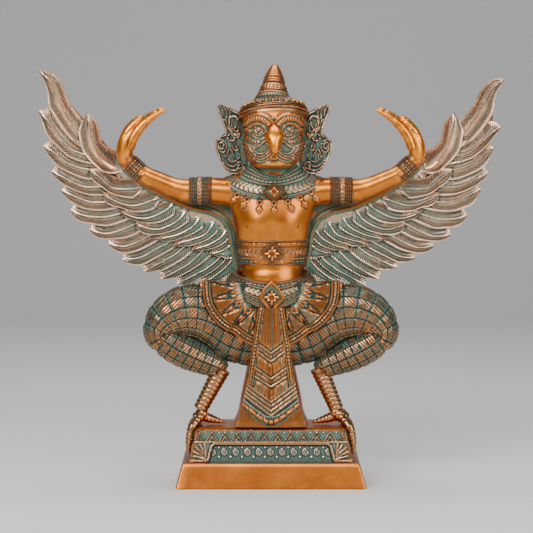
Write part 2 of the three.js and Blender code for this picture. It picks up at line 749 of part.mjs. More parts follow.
/** A foot: one toe on the plinth's top and three claws down over its end. */
function foot(side) {
  const [ankleX, ankleY, ankleZ] = ankle(side).map((value) => value * SHARE);
  const edge = pedestalHalf(PEDESTAL_WIDTH, PEDESTAL_TOP);
  const reach = PEDESTAL_HEIGHT * CLAW_REACH_SHARE;
  const drop = (share, spread, radius) => [
    pedestalHalf(PEDESTAL_WIDTH, PEDESTAL_TOP - reach * share) + radius + CLAW_CLEARANCE,
    ankleY + spread,
    -reach * share,
    radius,
  ];
  const claws = [-9, 0.5, 10].map((spread) => [
    [edge - 2.5, ankleY + spread * 0.35, CLAW_RADIUS * 2, CLAW_RADIUS],
    drop(0.03, spread * 0.95, CLAW_RADIUS),
    drop(0.45, spread, CLAW_RADIUS),
    drop(0.75, spread, CLAW_RADIUS * 0.8),
    drop(1, spread, 0.8),
  ]);
  const paw = [
    [ankleX - 3, ankleY, ankleZ - 2, CLAW_RADIUS * 1.4],
    [edge - 2, ankleY, CLAW_RADIUS * 2, CLAW_RADIUS * 1.7],
    [edge + 3.5, ankleY, CLAW_RADIUS * 1.3, CLAW_RADIUS],
  ];
  const hind = [
    [ankleX - 1, ankleY, CLAW_RADIUS * 1.6, CLAW_RADIUS],
    [ankleX - 10, ankleY - 1, CLAW_RADIUS * 0.8 + SEAT_GAP, CLAW_RADIUS * 0.8],
    [ankleX - 17.5, ankleY - 2, 1.2 + SEAT_GAP, 0.8],
  ];
  const inShares = ([x, y, z, radius]) => [side * x, y, z, radius, radius].map((value) => value / SHARE);
  const toe = (stops, steps) => limb(stops.map(inShares), { sides: 5, steps });
  return [...claws.map((stops) => toe(stops, 4)), toe(paw, 2), toe(hind, 3)];
}

// The loincloth, from its foot to the girdle: [z, half width, front y].
const LOINCLOTH_LEVELS = [
  [0.4, 25.5, -23.0],
  [4.0, 24.0, -23.4],
  [14, 20.8, -22.6],
  [30, 17.6, -22.2],
  [60, 13.4, -22.6],
  [84, 9.6, -22.8],
];
const CHEVRONS = [24, 40, 55];

/** The loincloth's half width and front depth at a height. */
function loinclothAt(z) {
  const upper = LOINCLOTH_LEVELS.findIndex(([level]) => level >= z);
  const [low, high] = [LOINCLOTH_LEVELS[Math.max(0, upper - 1)], LOINCLOTH_LEVELS[Math.max(1, upper)]];
  const share = (z - low[0]) / (high[0] - low[0]);
  return [low[1] + (high[1] - low[1]) * share, low[2] + (high[2] - low[2]) * share];
}

/** Loincloth panel: a flaring strip with raised borders and chevrons. */
function loincloth() {
  const columns = [-1, -0.84, -0.76, 0, 0.76, 0.84, 1];
  const heights = [0.9, 0.9, 0, 0, 0, 0.9, 0.9];
  const panel = relief(columns.length - 1, LOINCLOTH_LEVELS.length - 1, (column, row) => {
    const [z, half, front] = LOINCLOTH_LEVELS[row];
    const bulge = 1.6 * (1 - columns[column] ** 2);
    return [half * columns[column], z, front - bulge - heights[column], -6];
  });
  const chevrons = CHEVRONS.map((z) => {
    const [half, front] = loinclothAt(z);
    const drop = half * 0.72;
    const stop = (x, depth) => [x, front - 1.7 + depth, z - drop + Math.abs(x), 0.9, 1.1];
    return limb([stop(-half * 0.66, 0.9), stop(0, -0.2), stop(half * 0.66, 0.9)], { sides: 4, steps: 2 });
  });
  const hem = limb(
    [
      [-19.5, -22.6, 12.4, 1.3, 1.2],
      [-10.5, -24.6, 6.6, 1.3, 1.2],
      [0, -25.4, 3.8, 1.3, 1.2],
      [10.5, -24.6, 6.6, 1.3, 1.2],
      [19.5, -22.6, 12.4, 1.3, 1.2],
    ],
    { sides: 4, steps: 4 },
  );
  return [panel, ...chevrons, hem];
}

/** The pillar behind the loincloth, which carries the figure: the folded tail, widest at its foot. */
function tailPillar() {
  const levels = [
    [0, 27, -20, 20],
    [3, 26.4, -20, 19.4],
    [22, 21.5, -19, 16],
    [44, 17, -18, 14],
    [72, 14, -16, 12],
  ];
  return skin(
    levels.map(([z, half, front, back]) => [
      at(-half * 0.86, front, z),
      at(half * 0.86, front, z),
      at(half, (front + back) / 2, z),
      at(half * 0.8, back, z),
      at(0, back + 2, z),
      at(-half * 0.8, back, z),
      at(-half, (front + back) / 2, z),
    ]),
  );
}

/** The whole figure, cast in one, standing at z = 0. */
function garudaFigure() {
  const both = [-1, 1].flatMap((side) => [
    ...wing(side),
    ...arm(side),
    ...armOrnaments(side),
    ...ear(side),
    hipCloth(side),
    ...leg(side),
    ...foot(side),
  ]);
  return join([
    column(TRUNK_LEVELS),
    column(HEAD_LEVELS, 14),
    ...face(),
    ...crown(),
    ...collar(),
    ...belt(),
    ...girdle(),
    ...loincloth(),
    tailPillar(),
    ...both,
  ]);
}

/** A block with a rectangular plan. A level is [z, half width, half depth]. */
function block(levels) {
  return skin(
    levels.map(([z, wide, deep]) => [
      new THREE.Vector3(-wide, -deep, z),
      new THREE.Vector3(wide, -deep, z),
      new THREE.Vector3(wide, deep, z),
      new THREE.Vector3(-wide, deep, z),
    ]),
  );
}

const PEDESTAL_TOP = SLAB_HEIGHT + PEDESTAL_HEIGHT;

/** Half of a pedestal size, measured over its battered sides, at a height. */
function pedestalHalf(size, z) {
  return size / 2 - (PEDESTAL_BATTER * (z - SLAB_HEIGHT)) / PEDESTAL_HEIGHT;
}

/** A prism that stands out of or sinks into the pedestal's battered front, from outline points [x, z]. */
function frontPrism(outline, out, into) {
  const front = (z) => pedestalHalf(PEDESTAL_DEPTH, z);
  const ring = (offset) => outline.map(([x, z]) => new THREE.Vector3(x, offset - front(z), z));
  return skin([ring(-out), ring(into)]);
}

/** The frieze of teeth along the pedestal's top edge. */
function frieze() {
  const head = PEDESTAL_TOP - PEDESTAL_EDGE;
  const half = pedestalHalf(PEDESTAL_WIDTH, head);
  const pitch = (2 * half) / FRIEZE_TEETH;
  return [...Array(FRIEZE_TEETH).keys()].map((i) => {
    const middle = pitch * (i + 0.5) - half;
    const reach = pitch * FRIEZE_TOOTH_SHARE;
    const foot = head - FRIEZE_HEIGHT;
    return frontPrism([[middle - reach, foot], [middle + reach, foot], [middle, head]], FRIEZE_RELIEF, 1);
  });
}

/** Outline of the sunk panel between the bracket feet, drawn in by an inset. */
function panelOutline(inset) {
  const [foot, head] = [SLAB_HEIGHT + PANEL_FOOT, SLAB_HEIGHT + PANEL_HEIGHT - inset];
  const [reach, shoulder] = [PANEL_WIDTH / 2 - inset, (PANEL_WIDTH / 2) * PANEL_SHOULDER_SHARE - inset];
  return [[-reach, foot], [reach, foot], [shoulder, head], [-shoulder, head]];
}

/** Bosses of the scrollwork inside the panel. */
function scrollBosses() {
  const pitch = (PANEL_WIDTH * PANEL_SHOULDER_SHARE) / SCROLLS;
  const radius = pitch * 0.36;
  const height = SLAB_HEIGHT + PANEL_HEIGHT / 2;
  return [...Array(SCROLLS).keys()].map((i) => {
    const middle = pitch * (i + 0.5 - SCROLLS / 2);
    const corner = (j) => {
      const angle = (Math.PI * (j + 0.5)) / 4;
      return [middle + radius * Math.cos(angle), height + radius * Math.sin(angle)];
    };
    return frontPrism([...Array(8).keys()].map(corner), 0, PANEL_RECESS + 1);
  });
}

/** The stepped plinth: a plain battered slab under a carved pedestal with bracket feet. */
function plinth() {
  const [slabHalf, slabDeep] = [SLAB_WIDTH / 2, SLAB_DEPTH / 2];
  const slab = block([
    [0, slabHalf, slabDeep],
    [SLAB_HEIGHT, slabHalf - SLAB_BATTER, slabDeep - SLAB_BATTER],
  ]);
  const level = (z, inset) => [
    z,
    pedestalHalf(PEDESTAL_WIDTH, z) - inset,
    pedestalHalf(PEDESTAL_DEPTH, z) - inset,
  ];
  const pedestal = block([
    level(SLAB_HEIGHT - SLAB_HEIGHT / 2, PEDESTAL_BATTER / 2),
    level(SLAB_HEIGHT, 0),
    level(PEDESTAL_TOP - PEDESTAL_EDGE, 0),
    level(PEDESTAL_TOP - PEDESTAL_EDGE * 0.3, PEDESTAL_EDGE * 0.3),
    level(PEDESTAL_TOP, PEDESTAL_EDGE),
  ]);
  const rim = frontPrism(panelOutline(0), PANEL_RIM_RELIEF, 1);
  const sunk = frontPrism(panelOutline(PANEL_RIM), PANEL_RIM_RELIEF + 1, PANEL_RECESS);
  return join([slab, pedestal.add(rim).subtract(sunk), ...frieze(), ...scrollBosses()]);
}

const garuda = new THREE.Group();
const figureMesh = new THREE.Mesh(geometryOf(garudaFigure()), patinatedBronze);
figureMesh.name = "garuda_figure";
figureMesh.position.z = SLAB_HEIGHT + PEDESTAL_HEIGHT + SEAT_GAP;
const plinthMesh = new THREE.Mesh(geometryOf(plinth()), bronze);
plinthMesh.name = "plinth";
garuda.add(figureMesh, plinthMesh);

export default garuda;
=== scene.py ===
"""A winged guardian cast in brass with an antique copper tone, on a stepped plinth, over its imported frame."""

import logging
from collections.abc import Callable, Sequence
from dataclasses import dataclass, field
from enum import IntEnum

import bmesh
import bpy
import numpy as np
from mathutils import Matrix, Vector
from mathutils.bvhtree import BVHTree


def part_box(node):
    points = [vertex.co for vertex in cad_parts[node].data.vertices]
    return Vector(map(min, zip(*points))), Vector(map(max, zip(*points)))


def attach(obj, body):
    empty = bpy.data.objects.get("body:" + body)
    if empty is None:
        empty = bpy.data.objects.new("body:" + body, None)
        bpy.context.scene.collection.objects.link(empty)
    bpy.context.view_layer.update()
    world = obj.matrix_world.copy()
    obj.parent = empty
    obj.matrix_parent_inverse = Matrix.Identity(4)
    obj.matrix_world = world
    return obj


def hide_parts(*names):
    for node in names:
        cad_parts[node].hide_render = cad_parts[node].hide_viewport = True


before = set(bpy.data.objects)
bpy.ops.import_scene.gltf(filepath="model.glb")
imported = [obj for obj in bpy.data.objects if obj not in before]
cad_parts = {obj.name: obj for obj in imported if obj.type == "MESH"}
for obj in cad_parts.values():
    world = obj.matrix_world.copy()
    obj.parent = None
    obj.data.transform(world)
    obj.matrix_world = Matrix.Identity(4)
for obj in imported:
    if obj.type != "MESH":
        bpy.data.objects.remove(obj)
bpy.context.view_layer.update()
log = logging.getLogger("garuda")
Array = np.ndarray
Points = Sequence[Sequence[float]]
TAU = 2 * np.pi
# Radians from one direction to the next in an even spread.
GOLDEN_TURN = 2.39996
# Millimetres from one chased stroke to the next.
STROKE = 1.7
# Height in millimetres that the figure's forms are drawn to.
FIGURE_HEIGHT = 279.4
# Metres between the figure's feet and the plinth.
SEAT_GAP = 0.0003


class Finish(IntEnum):
    """How a part of the casting is finished."""

    SKIN = 0
    PLUME = 1
    SCALE = 2
    CHASED = 3
    LEAF = 4


@dataclass
class Site:
    """Where the points of a form lie before the chaser works on them, in millimetres and radians."""

    row: Array
    along: Array
    turn: Array
    x: Array
    z: Array

    @property
    def front(self) -> Array:
        """How far each point faces forwards, from -1 to 1."""
        return np.cos(self.turn)


@dataclass
class Work:
    """What the chaser leaves on a surface: relief, strokes across it and its share of patina."""

    lift: Array | float = 0.0
    stroke: Array | float = 0.0
    depth: Array | float = 0.0
    patina: Array | float = 0.2

    def marks(self, shape: tuple[int, int]) -> Array:
        """Stroke place, stroke depth and patina of each point of a grid."""
        values = (self.stroke, self.depth, self.patina)
        return np.stack([np.broadcast_to(value, shape) for value in values], -1)


@dataclass
class Shell:
    """One closed form of the casting, in millimetres."""

    points: Array
    faces: list[tuple[int, ...]]
    marks: Array
    finish: Finish = Finish.SKIN


Worker = Callable[[Site], Work]


def even(patina: Array | float) -> Worker:
    """Work that leaves a form plain, with an even patina."""
    return lambda site: Work(patina=patina)


def cells(count: int, cuts: Sequence[float] = (0.0,)) -> Array:
    """Shares along a length that is cut in equal cells, each cell cut again at the same shares."""
    return np.append((np.arange(count)[:, None] + np.asarray(cuts)).ravel() / count, 1.0)


def ring(count: int, crowd: float = 0.0) -> Array:
    """Turns round a form, with 0 at its front, closer together there by a share."""
    turn = np.arange(count) / count * TAU - np.pi
    return turn - crowd * np.sin(turn)


def runs(path: Array) -> Array:
    """Length along a path at each of its points."""
    return np.append(0, np.cumsum(np.linalg.norm(np.diff(path, axis=0), axis=1)))


def spline(stops: Points, shares: Array | int) -> Array:
    """Rows on a smooth curve through stops.

    Args:
        stops: Stops of the curve. Columns after the place, such as radii, run along.
        shares: Shares of the length to take, or how many even ones.

    Returns:
        One row for each share.
    """
    knots = np.asarray(stops, float)
    padded = np.vstack([2 * knots[0] - knots[1], knots, 2 * knots[-1] - knots[-2]])
    fine = np.linspace(0, len(knots) - 1, 32 * len(knots))
    span = np.minimum(fine.astype(int), len(knots) - 2)
    t = (fine - span)[:, None]
    a, b, c, d = (padded[span + k] for k in range(4))
    path = 0.5 * (2 * b + (c - a) * t + (2 * a - 5 * b + 4 * c - d) * t**2 + (3 * b - a - 3 * c + d) * t**3)
    length = runs(path[:, :3])
    shares = np.linspace(0, 1, shares) if isinstance(shares, int) else np.asarray(shares)
    return np.column_stack([np.interp(shares * length[-1], length, column) for column in path.T])


def mirrored(stops: Points, side: int) -> Array:
    """Stops whose first column is counted outwards, set on one side.

    Args:
        stops: Stops of a path.
        side: 1 or -1.

    Returns:
        The stops.
    """
    table = np.array(stops, float)
    table[:, 0] *= side
    return table


def hump(value: Array) -> Array:
    """A round ridge: 1 at 0, falling to 0 at 1 and beyond."""
    return np.sqrt(np.clip(1 - value**2, 0, 1))


def bead(value: Array) -> Array:
    """A row of round beads, one for each whole number."""
    return hump(2 * (value % 1) - 1)


def chance(*values: Array) -> Array:
    """A number from 0 to 1 that looks random, for whole numbers."""
    return np.sin(sum(value * turn for value, turn in zip(values, (12.9898, 78.233)))) * 43758.5453 % 1


def trace(x: Array, z: Array, line: Points) -> tuple[Array, Array]:
    """How far places lie from a line in the front view, and how far along it.

    Args:
        x: Places across.
        z: Places up.
        line: Points of the line.

    Returns:
        Distances and lengths along the line, in millimetres.
    """
    knots = np.asarray(line, float)
    start, span = knots[:-1], np.diff(knots, axis=0)
    length = np.linalg.norm(span, axis=1)
    place = np.stack(np.broadcast_arrays(x, z), -1)[..., None, :]
    share = np.clip(((place - start) * span).sum(-1) / length**2, 0, 1)
    distance = np.linalg.norm(place - start - share[..., None] * span, axis=-1)
    nearest = distance.argmin(-1)[..., None]
    run = np.append(0, np.cumsum(length))[:-1] + share * length
    return np.take_along_axis(distance, nearest, -1)[..., 0], np.take_along_axis(run, nearest, -1)[..., 0]


def loft(grid: Array, marks: Array | Sequence[float], finish: Finish) -> Shell:
    """A closed skin over rings of points, with a fan at each end.

    Args:
        grid: The rings.
        marks: Marks of the points, or one set for all.
        finish: Its finish.

    Returns:
        The form.
    """
    rings, count = grid.shape[:2]
    marks = np.broadcast_to(marks, grid.shape)
    here = np.arange(rings - 1)[:, None] * count + np.arange(count)[None]
    there = np.arange(rings - 1)[:, None] * count + (np.arange(count)[None] + 1) % count
    quads = np.stack([here, there, there + count, here + count], -1).reshape(-1, 4)
    total = rings * count
    ends = [(total, (k + 1) % count, k) for k in range(count)]
    ends += [(total + 1, total - count + k, total - count + (k + 1) % count) for k in range(count)]
    both = [np.vstack([values.reshape(-1, 3), values[0].mean(0), values[-1].mean(0)])
            for values in (grid, marks)]
    return Shell(both[0], [tuple(quad) for quad in quads.tolist()] + ends, both[1], finish)


def tube(rows: Array, turns: Array, work: Worker, finish: Finish = Finish.SKIN, square: float = 1.0) -> Shell:
    """A closed form round a path.

    Args:
        rows: Place, half width and half depth of each ring.
        turns: Angles of the points of a ring, 0 at the front.
        work: What is done to its surface.
        finish: Its finish.
        square: Below 1, the section is squarer than an oval.

    Returns:
        The form with a fan at each end.
    """
    centre = rows[:, :3]
    tangent = np.gradient(centre, axis=0)
    tangent /= np.linalg.norm(tangent, axis=1)[:, None]
    across = np.cross((0.0, 1.0, 0.0), tangent)
    across /= np.linalg.norm(across, axis=1)[:, None]
    deep = np.cross(tangent, across)
    side, front = (np.sign(v) * np.abs(v) ** square for v in (np.sin(turns), np.cos(turns)))
    along = runs(centre)[:, None]

    def place(lift: Array | float) -> Array:
        """Points of the form with a lift off its plain surface.

        Args:
            lift: Rise off the plain surface.

        Returns:
            The points, ring by ring.
        """
        wide = ((rows[:, 3:4] + lift) * side)[..., None]
        thick = ((rows[:, 4:5] + lift) * front)[..., None]
        return centre[:, None] + across[:, None] * wide - deep[:, None] * thick

    plain = place(0.0)
    index = np.arange(len(rows))[:, None]
    done = work(Site(index, along, turns[None, :], plain[..., 0], plain[..., 2]))
    points = place(np.broadcast_to(done.lift, plain.shape[:2]))
    return loft(points, done.marks(plain.shape[:2]), finish)


def plate(x: Array, z: Array, back: Array | float, work: Work, front: Array | float, skip: int = 6,
          finish: Finish = Finish.CHASED) -> Shell:
    """A relief with a plain back.

    Args:
        x: Places across, one for each point of a grid.
        z: Places up.
        back: Depth of the back.
        work: Relief and marks of the front.
        front: Depth of the front before its relief.
        skip: Rows of the front to one of the back.
        finish: Its finish.

    Returns:
        The closed form.
    """
    height, width = x.shape
    face = np.stack([x, np.broadcast_to(front - work.lift, x.shape), z], -1)
    rear = np.stack([x, np.broadcast_to(back, x.shape), z], -1)
    kept = sorted({*range(0, height, skip), height - 1})
    last = width - 1
    ribs = sorted({0, width // 2, last})
    index = np.arange(height * width).reshape(height, width)
    rear_index = {(r, c): height * width + i for i, (r, c) in enumerate((r, c) for r in kept for c in ribs)}
    quads = np.stack([index[:-1, :-1], index[:-1, 1:], index[1:, 1:], index[1:, :-1]], -1).reshape(-1, 4)
    faces = [tuple(quad) for quad in quads.tolist()]
    for low, high in zip(kept, kept[1:]):
        for left, right in zip(ribs, ribs[1:]):
            corners = ((low, left), (high, left), (high, right), (low, right))
            faces.append(tuple(rear_index[corner] for corner in corners))
        faces.append((*index[low:high + 1, 0], rear_index[high, 0], rear_index[low, 0]))
        faces.append((*index[low:high + 1, -1][::-1], rear_index[low, last], rear_index[high, last]))
    for row, step in ((0, -1), (height - 1, 1)):
        faces.append((*index[row, ::step], *(rear_index[row, c] for c in ribs[::-step])))
    marks = work.marks(x.shape)
    picked = [(r, c) for r in kept for c in ribs]
    rear_points = np.array([rear[at] for at in picked])
    rear_marks = np.array([marks[at] for at in picked]) * (1, 0, 0.5) + (0, 0, 0.4)
    return Shell(np.vstack([face.reshape(-1, 3), rear_points]), faces,
                 np.vstack([marks.reshape(-1, 3), rear_marks]), finish)


def front_of(levels: Points, x: float, z: float) -> float:
    """Depth of an upright form's front at a place in the front view.

    Args:
        levels: Stops of the form.
        x: Place across.
        z: Height.

    Returns:
        The depth, in millimetres.
    """
    table = np.asarray(levels, float)
    middle_x, middle_y, wide, deep = (np.interp(z, table[:, 2], table[:, k]) for k in (0, 1, 3, 4))
    return middle_y - deep * np.sqrt(1 - min(0.9, abs(x - middle_x) / wide) ** 2)


@dataclass
class Moulding:
    """A band whose rows stand proud or sunk and may be beaded.

    A row is its share of the width, its rise, the rise of its beads and their phase.
    """

    rows: Points
    beads: int
    patina: float = 0.55

    @property
    def shares(self) -> Array:
        """Where the rows lie."""
        return np.array([row[0] for row in self.rows])

    def work(self, site: Site) -> Work:
        """Relief of the band."""
        rise, beads, phase = (np.array([row[k] for row in self.rows])[site.row] for k in (1, 2, 3))
        return Work(rise + beads * bead(site.turn * self.beads / TAU + phase), patina=self.patina)

    def round(self, stops: Points, finish: Finish = Finish.CHASED, square: float = 1.0) -> Shell:
        """The band as a form along stops."""
        return tube(spline(stops, self.shares), ring(4 * self.beads), self.work, finish, square)


def rows_of(pattern: str, rise: float = 0.7, base: float = 0.0) -> list[tuple[float, float, float, float]]:
    """Rows of a moulding from a pattern of letters.

    Args:
        pattern: r for a rib, b for a row of beads, c for a chevron, f for a flat step.
        rise: How far the ribs and beads stand out.
        base: Rise of the ground between them.

    Returns:
        The rows, evenly spaced from 0 to 1.
    """
    parts = {
        "r": [(base, 0, 0), (base + rise, 0, 0)],
        "b": [(base, 0, 0), (base, rise, 0)],
        "c": [(base, 0, 0), *((base, rise, phase) for phase in (0, 0.25, 0.5, 0.25, 0))],
        "f": [(base + rise, 0, 0)],
    }
    rows = [row for letter in pattern for row in parts[letter]] + [(base, 0, 0)]
    return [(i / (len(rows) - 1), *row) for i, row in enumerate(rows)]


# Middle lines of the long feathers from root to tip, in millimetres across and up.
PRIMARIES = (
    ((127.4, 197.6), (134.6, 204.2), (143.3, 215), (151.2, 228.1), (155.5, 239.7), (161.3, 248.8),
     (168.5, 254.6)),
    ((118.8, 189.7), (133.9, 194), (144.7, 198.3), (154.8, 209.2), (162, 219), (168.5, 225.9)),
    ((114.5, 183.2), (133.2, 183.5), (147.6, 188.2), (158.4, 196.5), (165.6, 200.8)),
    ((110.2, 172.3), (125.3, 170.8), (136.1, 171.1), (147.6, 176.2), (159.5, 182.3)),
    ((101.5, 164.4), (114.5, 160.4), (130.3, 159.9), (141.1, 163.5), (152.6, 168.5)),
    ((92.9, 158.6), (104.4, 153.2), (120.2, 149.1), (134.6, 149.8), (145.8, 154.1)),
    ((81.4, 154.3), (94.3, 146.3), (108.7, 139.7), (120.2, 136.8), (132.1, 140)),
    ((68.4, 150.1), (79.9, 140.6), (91.4, 133.7), (105.8, 127.8), (118.8, 129.9)),
    ((58.3, 144.3), (68.4, 134.2), (79.9, 127.6), (94.3, 119.9), (108, 118)),
    ((49.7, 142.9), (59.8, 130.6), (69.8, 121.9), (81.4, 115.3), (92.3, 109.1)),
    ((41, 138.6), (48.2, 126.3), (58.3, 116.2), (68.4, 109.9), (79.9, 103.9)),
    ((31, 132.9), (36.7, 120.3), (46.1, 112.3), (56.9, 106.4), (68.4, 100.6)),
    ((25.9, 124.3), (29.5, 117.1), (35.3, 110.9), (42.5, 105.4), (49.7, 101.8)),
)
# Middle lines of the feathers that cover their roots.
COVERTS = (
    ((105.8, 181.8), (115.2, 184.6), (123.1, 191.5), (128.2, 200.5), (130.3, 210.7), (132.5, 224.5)),
    ((90, 170.9), (101.5, 169.5), (114.5, 170.1), (123.8, 177.7), (131.8, 183.9)),
    ((78.5, 163.8), (87.1, 160.8), (100.1, 157.2), (113, 160.7), (122.4, 167.2)),
    ((68.4, 160.5), (77, 153.6), (88.6, 148.5), (98.6, 148.8), (109.4, 153.5)),
    ((59.8, 155.9), (67.7, 146.5), (79.9, 140.6), (90, 141.3), (98.6, 144.9)),
    ((49.7, 151.6), (56.9, 142.2), (67, 136.7), (75.6, 134.5), (83.5, 133)),
    ((39.6, 148.8), (46.8, 137.5), (56.9, 133.1), (65.5, 130.9), (71.3, 127.6)),
    ((30.2, 142.3), (36.7, 134.3), (45.4, 129.2), (52.6, 127), (58, 124.8)),
    ((26.6, 132.9), (31, 127.9), (36.7, 124.6), (45.7, 122.4)),
)
# How far the long feathers' tips of the left wing lie from their twins' places.
LEFT_TIP_SHIFTS = (
    (1.6, -6.3), (-1, -11.5), (-3.2, -1.1), (-1.4, -1.3), (0.3, 0.9), (-3.1, -4.1),
    (-0.9, -3.6), (0.4, -1.6), (-2.6, 1.3), (-0.1, 2.9), (-1.6, 0), (0.7, -1.1), (0, 0),
)
# The wing's upper edge, from the outside in.
WING_RIM = (
    (110.9, 191.8), (102.6, 181.5), (91.2, 172.3), (77.4, 164.3), (60.1, 156.9),
    (42.9, 152.8), (33.8, 147), (29.2, 137.9), (26.9, 123), (24, 112),
)
# How far from its tip each outer feather narrows above and below its shaft.
TAPERS = ((15.0, 30.0), (10.0, 24.0), (7.0, 17.0))
# The edge of the plain web beside the body.
WEB = ((60.1, 162), (51, 163), (42, 163), (33, 162), (24, 158), (20, 145), (18, 130), (16, 112), (14, 103))
# Places of a feather's points from its upper edge at -1 to its lower at 1, and their heights.
BLADE = np.array([-1, -0.72, -0.4, -0.13, -0.04, 0.06, 0.17, 0.45, 0.76, 0.9, 1])
BLADE_HEIGHT = np.array([0.1, 0.45, 0.75, 0.9, 1.85, 1.95, 0.55, 0.95, 0.95, 1.5, 1.25])


@dataclass
class Wing:
    """A wing: a row of long feathers, a row of coverts over them, a rim and a plain back.

    Thickness, barb depth, covert lift and the widest half blade are in millimetres, and slant is how far
    back a barb's end lies for each millimetre that it reaches out.
    """

    side: int
    thickness: float = 3.3
    barb_depth: float = 0.24
    slant: float = 1.15
    covert_lift: float = 1.5
    widest: float = 7.6

    def face(self, x: Array) -> Array:
        """Depth of the wing's front, which sweeps back a little."""
        return 4 + 0.085 * np.maximum(0, x - 24)

    def spine(self, shaft: Points, shift: Sequence[float] = (0, 0)) -> Array:
        """A feather's middle line from its root to its tip, which may lie a little off its twin's."""
        line = spline(shaft, 121)
        return line + np.linspace(0, 1, len(line))[:, None] ** 2 * np.array(shift)

    def blade(self, spines: list[Array], i: int, lift: float, hidden: float, depth: float,
              taper: tuple[float, float], free: Sequence[float] = (9.5, 6.5, 4.8)) -> Shell:
        """One feather with a raised shaft, slanting barbs and its lower edge over the next feather.

        Args:
            spines: Middle lines of its row.
            i: Which feather.
            lift: How far its row lies in front of the wing's face.
            hidden: Share of its length that other feathers cover.
            depth: Depth of its back behind the wing's face.
            taper: How far from its tip its upper and its lower side start to narrow.
            free: Half width of a side without a neighbour, at the root and further out.

        Returns:
            The feather.
        """
        spine = spines[i]
        share = np.linspace(0, 1, len(spine))
        length = np.linalg.norm(np.diff(spine, axis=0), axis=1).sum()
        normal = np.gradient(spine, axis=0)[:, ::-1] * (1, -1)
        normal /= np.linalg.norm(normal, axis=1)[:, None]

        def half(neighbour: int) -> Array:
            """Half the room to a neighbouring feather, up to the widest that a blade is.

            Args:
                neighbour: Number of the feather beside it.

            Returns:
                The half width at each share of the length.
            """
            if not 0 <= neighbour < len(spines):
                return np.interp(share, (0, 0.3, 0.6), free)
            room = np.linalg.norm(spine[:, None] - spines[neighbour][None], axis=2).min(1) / 2
            return np.minimum(room, self.widest + 4 * np.clip(1 - share / 0.3, 0, 1))

        gone = (1 - share) * length
        narrow = [1 - np.clip(1 - gone / far, 0, 1) ** power for far, power in zip(taper, (1.8, 1.2))]
        upper, lower = (half(i - 1) * 1.16 + 0.4) * narrow[0], (half(i + 1) * 1.12 + 0.3) * narrow[1]
        barbs = int(length * (1 - hidden) / STROKE)
        rows = np.concatenate([np.linspace(0, hidden, 3)[:-1],
                               hidden + (1 - hidden) * np.arange(2 * barbs) / (2 * barbs), [0.992]])
        grooved = np.append(np.zeros(2), np.arange(len(rows) - 2) % 2 * 2 - 1.0)[:, None] * self.barb_depth
        reach = np.interp(rows, share, (upper + lower) / 2)
        lean = np.minimum(0.45, self.slant * reach / (length * (1.001 - rows)))[:, None]
        at = 1 - (1 - rows[:, None]) * (1 - lean * np.abs(BLADE))
        width = np.where(BLADE < 0, np.interp(at, share, upper), np.interp(at, share, lower)) * BLADE
        x, z = (np.interp(at, share, spine[:, k]) + np.interp(at, share, normal[:, k]) * width
                for k in (0, 1))
        calm = np.where(np.abs(BLADE) > 0.2, 1.0, 0.0) * np.where(np.abs(BLADE) < 0.85, 1.0, 0.35)
        fade = np.clip((1 - at) / 0.12, 0.55, 1) * np.clip(at * length / 9, 0, 1) ** 0.7
        shaft = np.where(np.abs(BLADE) < 0.1, fade, 1)
        height = BLADE_HEIGHT * shaft * (1 - 0.25 * np.clip((at - 0.6) / 0.4, 0, 1) ** 2) + grooved * calm
        tilt = np.interp(BLADE, (-1, 0, 1), (0.5, 0.8, 0))
        luck = 0.25 * (chance(np.float64(i), 3.0) - 0.5)
        patina = np.clip(1.05 - 0.0075 * x - 0.15 * (at - 0.5) + luck, 0.1, 1)
        stroke = (np.arange(len(rows)) - 2)[:, None] * STROKE / 2
        work = Work(height + lift, stroke, calm * (rows[:, None] > hidden), patina)
        return plate(self.side * x, z, self.face(x) + depth + tilt, work, self.face(x), finish=Finish.PLUME)

    def sheet(self, near: Array, far: Array, shares: Sequence[float], front: float,
              thick: Array | float) -> Shell:
        """A plain sheet between two lines that backs the feathers.

        Args:
            near: One line.
            far: The other.
            shares: Where its rows lie between them.
            front: Depth of its front behind the wing's face.
            thick: Thickness, one for each share or for all.

        Returns:
            The sheet.
        """
        near, far = (spline(line, 30)[:, None] for line in (near, far))
        places = near + (far - near) * np.asarray(shares)[None, :, None]
        x, z = places[..., 0], places[..., 1]
        face = self.face(x)
        return plate(self.side * x, z, face + front, Work(-front - thick + 0 * x, patina=0.62), face, skip=5)

    def field(self, spines: list[Array]) -> Shell:
        """The barbs between the rim and the roots of the coverts.

        Args:
            spines: Middle lines of the coverts.

        Returns:
            The field as one form.
        """
        near, far = spline(WING_RIM, 64), spline([spine[36] for spine in spines], 64)
        share = np.linspace(-0.02, 1, 7)
        places = near[:, None] + (far - near)[:, None] * share[None, :, None]
        x, z = places[..., 0], places[..., 1]
        run = runs(near)[:, None]
        work = Work(1.3 - 0.5 * share[None], run + 6 * share[None], 1.0, np.clip(1.0 - 0.006 * x, 0, 1))
        return plate(self.side * x, z, self.face(x) + 1.5, work, self.face(x), finish=Finish.PLUME)

    def rim(self) -> list[Shell]:
        """The flat border along the wing's upper edge with a fine ridge on it.

        Returns:
            The border and the ridge.
        """
        line = spline(WING_RIM, 34)
        x, z = line[:, 0], line[:, 1]
        forms = []
        for across, deep, out, patina in ((3.0, 1.8, 1.3, 0.95), (0.8, 0.9, 3.0, 0.1)):
            size = np.ones_like(x)
            rows = np.column_stack([self.side * x, self.face(x) - out, z, across * size, deep * size])
            aged = np.clip(patina + (60 - x) / 40, patina, 0.95)[:, None]
            forms.append(tube(rows, ring(10), even(aged), Finish.CHASED))
        return forms

